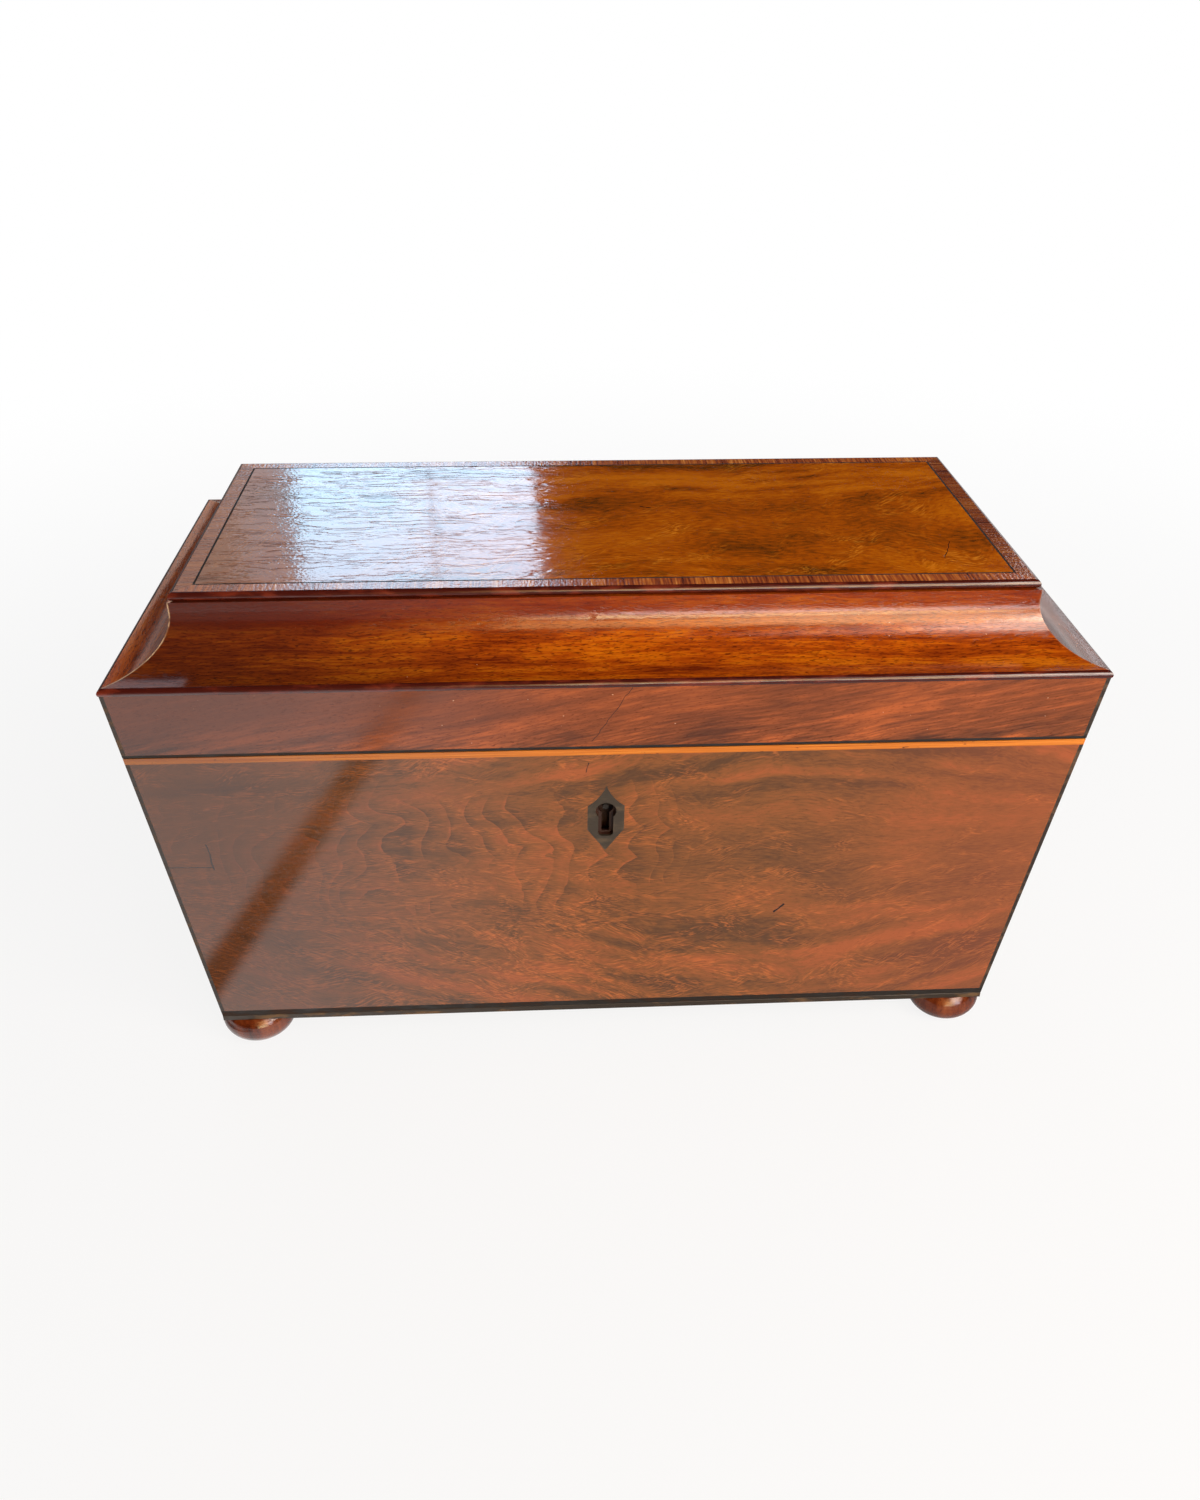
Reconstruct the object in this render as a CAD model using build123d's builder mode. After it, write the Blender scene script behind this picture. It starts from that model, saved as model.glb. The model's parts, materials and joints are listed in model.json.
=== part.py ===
"""Sarcophagus tea caddy of about 1820: a tapering mahogany box on four turned feet.

The hinged lid rises through a hollow moulding to a flat crossbanded top. Inside are two canisters
with lift-off covers and a glass mixing bowl between them. The box stands on the floor at height 0,
is centred on the origin and faces -Y. Lengths are in millimetres and angles in degrees.
"""

from build123d import *
from math import acos, atan, degrees
import os

# Outside of the box. Every side leans out by the same share of its height.
rim_width = 305.0
rim_depth = 152.4
side_taper = 0.0832
foot_height = 13.3
base_plate_thickness = 2.2
base_plate_chamfer = 0.3
case_height = 118.5
bottom_board_thickness = 6.5
wall_thickness = 11.0
veneer_thickness = 1.0

# Stringing let into the edges
string_depth = 1.6
boxwood_height = 2.2
base_string_height = 2.5
case_corner_string = 1.3
lid_corner_string = 1.3
lid_edge_string = 1.0

# Lid
lid_gap = 0.3
lid_rim_rise = 24.2
bead_radius = 1.4
bead_stand_out = 0.3
bead_tongue = 3.7
cove_setback = 1.0
cove_depth = 18.0
cove_height = 15.4
cove_foot_width = 15.2
cove_shelf = 6.2
fascia_height = 3.3
upper_bead_setback = 0.46
top_board_seat = 3.9
top_veneer_thickness = 0.8
crossbanding_width = 4.7
top_string_width = 0.7
lid_paper_thickness = 0.4
lid_paper_margin = 0.2

# Feet, turned as squashed buns
foot_radius = 13.4
foot_half_height = 9.2
foot_middle_height = 8.0
foot_stand_out = 2.8
spigot_radius = 5.0
spigot_length = 6.0

# Keyhole and its ebony escutcheon, measured down the front from the seam
lock_x = -1.9
escutcheon_tip_drop = 14.6
escutcheon_shoulder_drop = 23.0
escutcheon_side_drop = 33.0
escutcheon_foot_drop = 42.1
escutcheon_width = 12.0
escutcheon_hollow = 0.9
keyhole_drop = 25.3
keyhole_radius = 3.4
keyhole_slot_width = 4.9
keyhole_foot_drop = 35.8
keyhole_corner = 1.4

# Box lock in the front board
lock_width = 46.0
lock_height = 38.0
lock_plate = 0.8
lock_cavity = 4.4
selvedge_length = 62.0
selvedge_width = 7.0
selvedge_thickness = 1.6
lock_key_radius = 2.6
lock_key_slot_width = 2.6
lock_key_corner = 0.5
drill_pin_radius = 1.0
drill_pin_length = 6.3
stump_radius = 1.2
stump_drop = 15.0
left_stump_x = -8.0
right_stump_x = 12.0
bolt_travel = 4.5
bolt_bottom_drop = 19.0
bolt_top_drop = 12.5
bolt_side_gap = 0.2
bolt_slot_gap = 0.15
bolt_right_end = 15.0
talon_width = 6.0
talon_height = 2.5
finger_width = 2.5
finger_thickness = 1.5
nose_bottom_drop = 7.4
nose_top_drop = 5.0
nose_gap = 0.8
spring_thickness = 0.6
spring_width = 3.4
spring_root_drop = 36.0
spring_bend_drop = 30.0
spring_tip_x = 9.0
spring_gap = 0.5

# Strike plate in the lid, with two loops that hang into the lock
strike_length = 46.0
strike_width = 6.0
strike_thickness = 1.2
loop_spacing = 24.0
loop_thickness = 2.0
loop_width = 3.4
loop_drop = 9.5
loop_corner = 1.0
loop_hole_width = 2.1
loop_hole_height = 3.6
loop_foot = 1.2
slot_side_gap = 0.6
slot_end_gap = 0.5

# Pair of stopped butt hinges at the back
lid_opening = 100.0
hinge_spacing = 170.0
hinge_length = 40.0
knuckle_count = 5
knuckle_radius = 2.2
knuckle_gap = 0.2
running_gap = 0.15
pocket_gap = 0.3
pin_radius = 0.9
pin_gap = 0.05
leaf_width = 8.0
leaf_thickness = 1.2
tail_radius = 3.6
stop_margin = 0.3
tail_wood_gap = 0.6

# Countersunk wood screws
screw_head_radius = 1.7
screw_head_height = 1.0
screw_shank_radius = 0.9
screw_length = 9.0
screw_slot_width = 0.5
screw_slot_depth = 0.5
leaf_screw_count = 3
leaf_screw_spacing = 14.0
leaf_screw_inset = 5.3
selvedge_screw_spacing = 54.0
strike_screw_spacing = 38.0

# Inside of the case
partition_thickness = 6.0
groove_depth = 3.0
partition_drop = 4.0
lining_thickness = 1.0
lining_margin = 0.3
bowl_board_drop = 14.0
bowl_board_thickness = 6.0
bowl_board_gap = 0.3
bowl_board_side = 5.0
bowl_hole_gap = 1.0
ledge_width = 4.0
ledge_height = 5.0

# Canisters and their covers
canister_gap = 0.8
canister_wall = 4.5
canister_floor = 5.0
canister_drop = 5.5
foil_thickness = 0.4
foil_drop = 5.0
cover_thickness = 4.5
plug_height = 4.0
plug_gap = 0.5
knob_height = 12.0
knob_radius = 6.0
knob_flat_radius = 1.0
knob_foot_radius = 4.2
knob_foot_height = 1.4
knob_neck_radius = 2.2
knob_neck_height = 4.0
knob_spigot_radius = 2.0
knob_spigot_length = 5.0

# Glass mixing bowl
bowl_radius = 42.0
bowl_foot_radius = 27.0
bowl_rim_drop = 3.0
bowl_wall = 3.0
bowl_bottom = 5.0
bowl_shoulder_height = 30.0
bowl_rim_roll = 1.2

# Heights above the floor
case_bottom = foot_height + base_plate_thickness
seam = case_bottom + case_height
bottom_board_top = case_bottom + bottom_board_thickness
base_string_top = case_bottom + base_string_height
lid_bottom = seam + lid_gap
rim_level = seam + lid_rim_rise
rail_top = rim_level + bead_radius
bead_bottom = rim_level - bead_radius
cove_top = rail_top + cove_height
fascia_top = cove_top + fascia_height
lid_top = fascia_top + 2 * bead_radius
lid_ceiling = fascia_top - top_board_seat
lining_top = bottom_board_top + lining_thickness

# The ends stand this much further from the middle than the long sides do.
end_offset = (rim_width - rim_depth) / 2
lean = degrees(atan(side_taper))


def face_at(height):
    """Distance of the long sides' outer face from the middle at a height."""
    return rim_depth / 2 - side_taper * (rim_level - height)


# Distances out from the middle, on the long sides
lock_inner = face_at(seam) - wall_thickness
lock_outer = lock_inner + 2 * lock_plate + lock_cavity
lock_middle = lock_inner + lock_plate + lock_cavity / 2
lower_bead_centre = rim_depth / 2 + bead_stand_out - bead_radius
cove_foot = rim_depth / 2 - cove_setback
cove_lip = cove_foot - cove_depth
cove_inner_foot = cove_foot - cove_foot_width
cove_inner = cove_lip - cove_shelf
upper_bead_centre = cove_lip - upper_bead_setback - bead_radius
crossbanding_inner = upper_bead_centre - crossbanding_width
top_string_inner = crossbanding_inner - top_string_width

outward = {"front": (0, -1, 0), "back": (0, 1, 0), "left": (-1, 0, 0), "right": (1, 0, 0)}
os.makedirs("parts", exist_ok=True)


def write_piece(name, solids):
    """Label a finished piece, or a set of like solids, and write it to its own file."""
    pieces = list(solids) if isinstance(solids, list) else [solids]
    piece = pieces[0] if len(pieces) == 1 else Compound(children=pieces)
    piece.label = name
    export_step(piece, f"parts/{name}.step")


def side_start(side):
    """Point from which a side's distances are measured."""
    return (end_offset * outward[side][0], 0, 0)


def mitred(side, section):
    """One length of moulding along a side, its ends cut to the corner mitres.

    The section's x is the distance out from the middle and its y is the height.
    """
    direction = Vector(outward[side])
    half_run = end_offset if direction.X == 0 else 0
    section_plane = Plane(side_start(side), x_dir=direction, z_dir=direction.cross(Vector(0, 0, 1)))
    plan = Plane(side_start(side), x_dir=direction, z_dir=(0, 0, 1))
    reach = rim_width
    with BuildPart() as length:
        with BuildSketch(section_plane):
            add(section)
        extrude(amount=reach, both=True)
        with BuildSketch(plan):
            with BuildLine():
                Polyline((-half_run, 0), (reach, -half_run - reach), (reach, half_run + reach), close=True)
            make_face()
        extrude(amount=lid_top + reach, mode=Mode.INTERSECT)
    return length.part.solid()


def strip(low, high, near, far):
    """Section of a strip that follows the leaning side, between two depths behind its face."""
    with BuildSketch() as section:
        with BuildLine():
            Polyline(
                (face_at(low) - far, low),
                (face_at(low) - near, low),
                (face_at(high) - near, high),
                (face_at(high) - far, high),
                close=True,
            )
        make_face()
    return section.sketch


def box_outline(low, high, offset, inset):
    """Outline of the box seen from one side, between two heights."""
    low_half = face_at(low) + offset - inset
    high_half = face_at(high) + offset - inset
    with BuildSketch() as outline:
        with BuildLine():
            Polyline((-low_half, low), (low_half, low), (high_half, high), (-high_half, high), close=True)
        make_face()
    return outline.sketch


def tapered_block(low, high, inset_x=0.0, inset_y=0.0):
    """Solid of the box between two heights, set in from its leaning sides."""
    front_view = box_outline(low, high, end_offset, inset_x)
    end_view = box_outline(low, high, 0, inset_y)
    with BuildPart() as block:
        with BuildSketch(Plane.XZ):
            add(front_view)
        extrude(amount=rim_depth, both=True)
        with BuildSketch(Plane.YZ):
            add(end_view)
        extrude(amount=rim_width, both=True, mode=Mode.INTERSECT)
    return block.part.solid()


def corner_strips(low, high, size):
    """Four square strings let into the upright corners."""
    whole = tapered_block(low, high)
    narrower = tapered_block(low, high, inset_x=size)
    shallower = tapered_block(low, high, inset_y=size)
    with BuildPart() as strips:
        add(whole)
        add(narrower, mode=Mode.SUBTRACT)
        add(shallower, mode=Mode.SUBTRACT)
    return strips.part.solids()


def cut_away(pieces, *cutters):
    """What is left of a piece, or of a set of pieces, once the room for its neighbours is cut out."""
    solids = []
    for piece in pieces if isinstance(pieces, list) else [pieces]:
        with BuildPart() as result:
            add(piece)
            for cutter in cutters:
                add(cutter, mode=Mode.SUBTRACT)
        solids += result.part.solids()
    return solids


def screw_blank(upward):
    """Countersunk screw with no slot, its head's face at height 0."""
    turn = 0 if upward else 180
    with BuildPart() as blank:
        with BuildSketch(Plane.XZ):
            with BuildLine():
                Polyline(
                    (0, 0),
                    (screw_head_radius, 0),
                    (screw_shank_radius, -screw_head_height),
                    (screw_shank_radius, -screw_length),
                    (0, -screw_length),
                    close=True,
                )
            make_face()
        revolve(axis=Axis.Z)
    return blank.part.rotate(Axis.X, turn)


def place_screws(places, upward):
    """Screws and the blanks that cut their holes, at a list of places."""
    blank = screw_blank(upward)
    inward = -1 if upward else 1
    with BuildPart() as blanks:
        with Locations(*places):
            add(blank)
    with BuildPart() as slots:
        with Locations(*[(x, y, z + inward * screw_slot_depth / 2) for x, y, z in places]):
            Box(2 * screw_head_radius, screw_slot_width, screw_slot_depth)
    with BuildPart() as screws:
        add(blanks.part)
        add(slots.part, mode=Mode.SUBTRACT)
    return screws.part.solids(), blanks.part.solids()


# Stringing of the case, made first because the boards are cut for it
boxwood = [mitred(side, strip(seam - boxwood_height, seam, 0, string_depth)) for side in outward]
base_strings = [mitred(side, strip(case_bottom, base_string_top, 0, string_depth)) for side in outward]
case_corners = corner_strips(base_string_top, seam - boxwood_height, case_corner_string)

# Lock: a shallow box with its cover on the inside, and a selvedge flush with the case's top
lock_plane = Plane((lock_x, -lock_inner, seam), x_dir=(1, 0, 0), z_dir=(0, -1, 0))
lock_body_height = lock_height - selvedge_thickness
loop_places = [(lock_x - loop_spacing / 2, -lock_middle), (lock_x + loop_spacing / 2, -lock_middle)]


def keyhole(radius, slot_width, foot_drop, corner):
    """Keyhole outline, a round hole with a round-cornered slot below it."""
    with BuildSketch() as outline:
        with Locations((0, -keyhole_drop)):
            Circle(radius)
        with Locations((0, -foot_drop)):
            RectangleRounded(slot_width, foot_drop - keyhole_drop, corner, align=(Align.CENTER, Align.MIN))
    return outline.sketch


front_keyhole = keyhole(keyhole_radius, keyhole_slot_width, keyhole_foot_drop, keyhole_corner)
lock_foot_drop = keyhole_foot_drop - (keyhole_radius - lock_key_radius)
lock_keyhole = keyhole(lock_key_radius, lock_key_slot_width, lock_foot_drop, lock_key_corner)

# Cuts through the front start at the lock and reach past the leaning veneer.
front_reach = 2 * wall_thickness
with BuildPart() as keyhole_cut:
    with BuildSketch(lock_plane.offset(lock_outer - lock_inner)):
        add(front_keyhole)
    extrude(amount=front_reach)

with BuildPart() as lock_case:
    with BuildSketch(lock_plane.offset(lock_plate)):
        with Locations((0, -lock_height)):
            Rectangle(lock_width, lock_body_height, align=(Align.CENTER, Align.MIN))
        with Locations((0, -lock_height + lock_plate)):
            Rectangle(
                lock_width - 2 * lock_plate,
                lock_body_height - lock_plate,
                align=(Align.CENTER, Align.MIN),
                mode=Mode.SUBTRACT,
            )
    extrude(amount=lock_cavity)
    with BuildSketch(lock_plane.offset(lock_plate + lock_cavity)):
        with Locations((0, -lock_height)):
            Rectangle(lock_width, lock_body_height, align=(Align.CENTER, Align.MIN))
        add(lock_keyhole, mode=Mode.SUBTRACT)
    extrude(amount=lock_plate)
    with BuildSketch(lock_plane.offset(lock_plate)):
        with Locations((left_stump_x, -stump_drop), (right_stump_x, -stump_drop)):
            Circle(stump_radius)
    extrude(amount=lock_cavity)
    with BuildSketch(Plane.XY.offset(seam - selvedge_thickness)):
        with Locations((lock_x, -lock_inner)):
            Rectangle(selvedge_length, selvedge_width, align=(Align.CENTER, Align.MAX))
        with Locations(*loop_places):
            Rectangle(
                loop_thickness + 2 * slot_end_gap, loop_width + 2 * slot_side_gap, mode=Mode.SUBTRACT
            )
    extrude(amount=selvedge_thickness)

with BuildPart() as lock_cover_plate:
    with BuildSketch(lock_plane):
        with Locations((0, -lock_height)):
            Rectangle(lock_width, lock_body_height, align=(Align.CENTER, Align.MIN))
        with Locations((0, -keyhole_drop)):
            Circle(drill_pin_radius, mode=Mode.SUBTRACT)
    extrude(amount=lock_plate)

with BuildPart() as drill_pin:
    with BuildSketch(lock_plane):
        with Locations((0, -keyhole_drop)):
            Circle(drill_pin_radius)
    extrude(amount=drill_pin_length)

lock_room_depth = wall_thickness + side_taper * lock_height
with BuildPart() as lock_room:
    with BuildSketch(lock_plane.offset(lock_outer - lock_inner)):
        with Locations((0, -lock_height)):
            Rectangle(lock_width, lock_height, align=(Align.CENTER, Align.MIN))
    extrude(amount=-lock_room_depth)
    with BuildSketch(Plane.XY.offset(seam - selvedge_thickness)):
        with Locations((lock_x, -lock_inner)):
            Rectangle(selvedge_length, selvedge_width, align=(Align.CENTER, Align.MAX))
    extrude(amount=selvedge_thickness)

# Bolt with two hooked fingers, drawn unlocked. It slides to +X into the lid's loops.
bolt_plane = lock_plane.offset(lock_plate + lock_cavity / 2)
nose_tips = [x - loop_thickness / 2 - nose_gap for x in (-loop_spacing / 2, loop_spacing / 2)]
bolt_left_end = nose_tips[0] - bolt_travel - finger_width

with BuildPart() as lock_bolt:
    with BuildSketch(bolt_plane):
        with Locations((bolt_left_end, -bolt_bottom_drop)):
            Rectangle(
                bolt_right_end - bolt_left_end,
                bolt_bottom_drop - bolt_top_drop,
                align=(Align.MIN, Align.MIN),
            )
        with Locations((-bolt_travel / 2, -bolt_bottom_drop)):
            Rectangle(
                talon_width, talon_height, align=(Align.CENTER, Align.MIN), mode=Mode.SUBTRACT
            )
        with Locations(
            (left_stump_x - bolt_travel / 2, -stump_drop), (right_stump_x - bolt_travel / 2, -stump_drop)
        ):
            SlotCenterToCenter(bolt_travel, 2 * (stump_radius + bolt_slot_gap), mode=Mode.SUBTRACT)
    extrude(amount=lock_cavity / 2 - bolt_side_gap, both=True)
    with BuildSketch(bolt_plane):
        for tip in nose_tips:
            with Locations((tip - bolt_travel, -bolt_top_drop)):
                Rectangle(finger_width, bolt_top_drop - nose_top_drop, align=(Align.MAX, Align.MIN))
            with Locations((tip, -nose_bottom_drop)):
                Rectangle(bolt_travel, nose_bottom_drop - nose_top_drop, align=(Align.MAX, Align.MIN))
    extrude(amount=finger_thickness / 2, both=True)

# Leaf spring, rooted against the lock's side wall, that holds the bolt by its lower edge
spring_wall_x = lock_width / 2 - lock_plate - spring_thickness / 2
spring_tip_drop = bolt_bottom_drop + spring_gap + spring_thickness / 2
with BuildPart() as lock_spring:
    with BuildSketch(bolt_plane):
        with BuildLine():
            root = Line((spring_wall_x, -spring_root_drop), (spring_wall_x, -spring_bend_drop))
            TangentArc(root @ 1, (spring_tip_x, -spring_tip_drop), tangent=root % 1)
        trace(line_width=spring_thickness)
    extrude(amount=spring_width / 2, both=True)

# Hinges: each is drawn once about its pin and then placed twice
hinge_back = face_at(seam)
hinge_level = seam + lid_gap / 2
hinge_places = [(-hinge_spacing / 2, hinge_back, hinge_level), (hinge_spacing / 2, hinge_back, hinge_level)]
knuckle_pitch = hinge_length / knuckle_count
stop_angle = lid_opening / 2 + stop_margin
clear_radius = knuckle_radius + running_gap


def tail_outline(start_angle, end_angle):
    """Wedge about the pin whose flat side stops the lid."""
    with BuildSketch() as wedge:
        with BuildLine():
            rim_arc = CenterArc((0, 0), tail_radius, start_angle, end_angle - start_angle)
            Polyline(rim_arc @ 1, (0, 0), rim_arc @ 0)
        make_face()
    return wedge.sketch


def hinge_leaf(first_knuckle, leaf_bottom, tail, bore_radius):
    """One leaf with every second knuckle and a full-length stop tail."""
    starts = range(first_knuckle, knuckle_count, 2)
    with BuildPart() as leaf:
        with BuildSketch(Plane.YZ.offset(-hinge_length / 2)):
            with Locations((0, leaf_bottom)):
                Rectangle(leaf_width, leaf_thickness, align=(Align.MAX, Align.MIN))
            add(tail)
            Circle(clear_radius, mode=Mode.SUBTRACT)
        extrude(amount=hinge_length)
        for index in starts:
            with BuildSketch(Plane.YZ.offset(index * knuckle_pitch - hinge_length / 2 + knuckle_gap / 2)):
                add(tail)
                with Locations((0, leaf_bottom)):
                    Rectangle(leaf_width, leaf_thickness, align=(Align.MAX, Align.MIN))
                Circle(knuckle_radius)
                Circle(bore_radius, mode=Mode.SUBTRACT)
            extrude(amount=knuckle_pitch - knuckle_gap)
    return leaf.part.solid()


def at_hinges(piece):
    """A piece of hinge at each of the two hinges."""
    with BuildPart() as pair:
        with Locations(*hinge_places):
            add(piece)
    return pair.part.solids()


case_tail = tail_outline(-90, -stop_angle)
lid_tail = tail_outline(stop_angle, 90 - lean - tail_wood_gap)
case_leaf = hinge_leaf(0, -lid_gap / 2 - leaf_thickness, case_tail, pin_radius)
lid_leaf = hinge_leaf(1, lid_gap / 2, lid_tail, pin_radius + pin_gap)

with BuildPart() as hinge_pin:
    with BuildSketch(Plane.YZ.offset(-hinge_length / 2)):
        Circle(pin_radius)
    extrude(amount=hinge_length)

with BuildPart() as hinge_room:
    with BuildSketch(Plane.YZ.offset(-hinge_length / 2 - pocket_gap)):
        Circle(knuckle_radius + pocket_gap)
    extrude(amount=hinge_length + 2 * pocket_gap)
    with BuildSketch(Plane.YZ.offset(-hinge_length / 2)):
        Rectangle(leaf_width, lid_gap + 2 * leaf_thickness, align=(Align.MAX, Align.CENTER))
    extrude(amount=hinge_length)

case_leaves = at_hinges(case_leaf)
lid_leaves = at_hinges(lid_leaf)
hinge_pins = at_hinges(hinge_pin.part)
hinge_rooms = at_hinges(hinge_room.part)

# Screws: three in each leaf, two in the lock's selvedge and two in the strike plate
leaf_screw_run = leaf_screw_spacing * (leaf_screw_count - 1)
leaf_screw_xs = [
    hinge_x + leaf_screw_spacing * step - leaf_screw_run / 2
    for hinge_x in (-hinge_spacing / 2, hinge_spacing / 2)
    for step in range(leaf_screw_count)
]
leaf_screw_y = hinge_back - leaf_screw_inset
selvedge_screw_y = -lock_inner - selvedge_width / 2
case_screw_places = [(x, leaf_screw_y, seam) for x in leaf_screw_xs]
case_screw_places += [
    (lock_x + turn * selvedge_screw_spacing / 2, selvedge_screw_y, seam) for turn in (-1, 1)
]
lid_screw_places = [(x, leaf_screw_y, lid_bottom) for x in leaf_screw_xs]
lid_screw_places += [
    (lock_x + turn * strike_screw_spacing / 2, -lock_middle, lid_bottom) for turn in (-1, 1)
]
case_screws, case_screw_holes = place_screws(case_screw_places, upward=True)
lid_screws, lid_screw_holes = place_screws(lid_screw_places, upward=False)

# Partitions stand on the bottom board, housed in grooves in the long boards. Between them is the
# well, as wide as the bowl's hole and the wood that is left beside it.
well_width = 2 * (bowl_radius + bowl_hole_gap + bowl_board_side)
partition_top = seam - partition_drop
partition_middle = (well_width + partition_thickness) / 2
partition_blank = tapered_block(bottom_board_top, partition_top, inset_y=wall_thickness - groove_depth)
with BuildPart() as partitions:
    add(partition_blank)
    with BuildSketch(Plane.XY.offset(bottom_board_top)):
        with Locations((-partition_middle, 0), (partition_middle, 0)):
            Rectangle(partition_thickness, rim_depth)
    extrude(amount=case_height, mode=Mode.INTERSECT)

# Case boards, mitred at the corners
wall_section = strip(bottom_board_top, seam, veneer_thickness, wall_thickness)
walls = {side: mitred(side, wall_section) for side in outward}
grooves = partitions.part.solids()
front_board = cut_away(
    walls["front"], case_corners, boxwood, grooves, lock_room.part, keyhole_cut.part, case_screw_holes
)
back_board = cut_away(walls["back"], case_corners, boxwood, grooves, hinge_rooms, case_screw_holes)
left_board = cut_away(walls["left"], case_corners, boxwood)
right_board = cut_away(walls["right"], case_corners, boxwood)

# Turned feet with spigots that pass through the base plate into the bottom board
foot_x = end_offset + face_at(case_bottom) + foot_stand_out - foot_radius
foot_y = face_at(case_bottom) + foot_stand_out - foot_radius
with BuildPart() as foot:
    with BuildSketch(Plane.XZ):
        with Locations((0, foot_middle_height)):
            Ellipse(foot_radius, foot_half_height)
        Rectangle(foot_radius, foot_height, align=(Align.MIN, Align.MIN), mode=Mode.INTERSECT)
        Rectangle(spigot_radius, foot_height + spigot_length, align=(Align.MIN, Align.MIN))
    revolve(axis=Axis.Z)
with BuildPart() as front_feet:
    with Locations((-foot_x, -foot_y), (foot_x, -foot_y)):
        add(foot.part)
with BuildPart() as back_feet:
    with Locations((-foot_x, foot_y), (foot_x, foot_y)):
        add(foot.part)

bottom_blank = tapered_block(case_bottom, bottom_board_top, veneer_thickness, veneer_thickness)
bottom_board = cut_away(bottom_blank, base_strings, case_corners, front_feet.part, back_feet.part)

with BuildPart() as base_plate:
    with BuildSketch(Plane.XY.offset(foot_height)):
        Rectangle(2 * (face_at(case_bottom) + end_offset), 2 * face_at(case_bottom))
    extrude(amount=base_plate_thickness)
    chamfer(base_plate.faces().sort_by(Axis.Z)[-1].edges(), base_plate_chamfer)
    add(front_feet.part, mode=Mode.SUBTRACT)
    add(back_feet.part, mode=Mode.SUBTRACT)

# Veneer of the case, and the escutcheon let into the front of it
veneer_section = strip(base_string_top, seam - boxwood_height, 0, veneer_thickness)
veneers = {side: cut_away(mitred(side, veneer_section), case_corners) for side in outward}

with BuildPart() as escutcheon_cutter:
    with BuildSketch(lock_plane):
        with BuildLine():
            half_width = escutcheon_width / 2
            SagittaArc(
                (-half_width, -escutcheon_shoulder_drop), (0, -escutcheon_tip_drop), -escutcheon_hollow
            )
            SagittaArc(
                (0, -escutcheon_tip_drop), (half_width, -escutcheon_shoulder_drop), -escutcheon_hollow
            )
            Polyline(
                (half_width, -escutcheon_shoulder_drop),
                (half_width, -escutcheon_side_drop),
                (0, -escutcheon_foot_drop),
                (-half_width, -escutcheon_side_drop),
                (-half_width, -escutcheon_shoulder_drop),
            )
        make_face()
    extrude(amount=front_reach)

with BuildPart() as escutcheon:
    add(veneers["front"])
    add(escutcheon_cutter.part, mode=Mode.INTERSECT)
    add(keyhole_cut.part, mode=Mode.SUBTRACT)

front_veneer = cut_away(veneers["front"], escutcheon_cutter.part)
back_veneer = cut_away(veneers["back"], hinge_rooms)
boxwood_pieces = cut_away(boxwood, hinge_rooms)

# Paper lining of the floor, in three pieces between the partitions
lining_blank = tapered_block(
    bottom_board_top, lining_top, wall_thickness + lining_margin, wall_thickness + lining_margin
)
with BuildPart() as floor_lining:
    add(lining_blank)
    with BuildSketch(Plane.XY.offset(bottom_board_top)):
        with Locations((-partition_middle, 0), (partition_middle, 0)):
            Rectangle(partition_thickness + 2 * lining_margin, rim_depth)
    extrude(amount=lining_thickness, mode=Mode.SUBTRACT)

# Board with a round hole that steadies the mixing bowl, and the two ledges under it
bowl_board_top = seam - bowl_board_drop
bowl_board_bottom = bowl_board_top - bowl_board_thickness
bowl_board_blank = tapered_block(
    bowl_board_bottom, bowl_board_top, inset_y=wall_thickness + bowl_board_gap
)
with BuildPart() as bowl_board:
    add(bowl_board_blank)
    with BuildSketch(Plane.XY.offset(bowl_board_bottom)):
        Rectangle(well_width - 2 * bowl_board_gap, rim_depth)
        Circle(bowl_radius + bowl_hole_gap, mode=Mode.SUBTRACT)
    extrude(amount=bowl_board_thickness, mode=Mode.INTERSECT)

ledge_bottom = bowl_board_bottom - ledge_height
ledge_blank = tapered_block(ledge_bottom, bowl_board_bottom, inset_y=wall_thickness + bowl_board_gap)
with BuildPart() as bowl_board_ledges:
    add(ledge_blank)
    with BuildSketch(Plane.XY.offset(ledge_bottom)):
        Rectangle(well_width, rim_depth)
        Circle(bowl_radius + bowl_hole_gap, mode=Mode.SUBTRACT)
        Rectangle(well_width - 2 * ledge_width, rim_depth, mode=Mode.SUBTRACT)
    extrude(amount=ledge_height, mode=Mode.INTERSECT)

# Lid strings and beads, made first because the rails are cut for them
lid_strings = [
    mitred(side, strip(lid_bottom, lid_bottom + lid_edge_string, 0, string_depth)) for side in outward
]
lid_corners = corner_strips(lid_bottom + lid_edge_string, rim_level, lid_corner_string)

with BuildSketch() as lower_bead_section:
    with Locations((lower_bead_centre, rim_level)):
        Circle(bead_radius)
        Rectangle(bead_tongue, 2 * bead_radius, align=(Align.MAX, Align.CENTER))

with BuildSketch() as upper_bead_section:
    with Locations((upper_bead_centre, fascia_top + bead_radius)):
        Circle(bead_radius)
        Rectangle(
            bead_radius, 2 * bead_radius, align=(Align.MIN, Align.CENTER), mode=Mode.INTERSECT
        )

lower_beads = [mitred(side, lower_bead_section.sketch) for side in outward]
upper_beads = [mitred(side, upper_bead_section.sketch) for side in outward]
lid_corners = cut_away(lid_corners, lower_beads)

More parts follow.
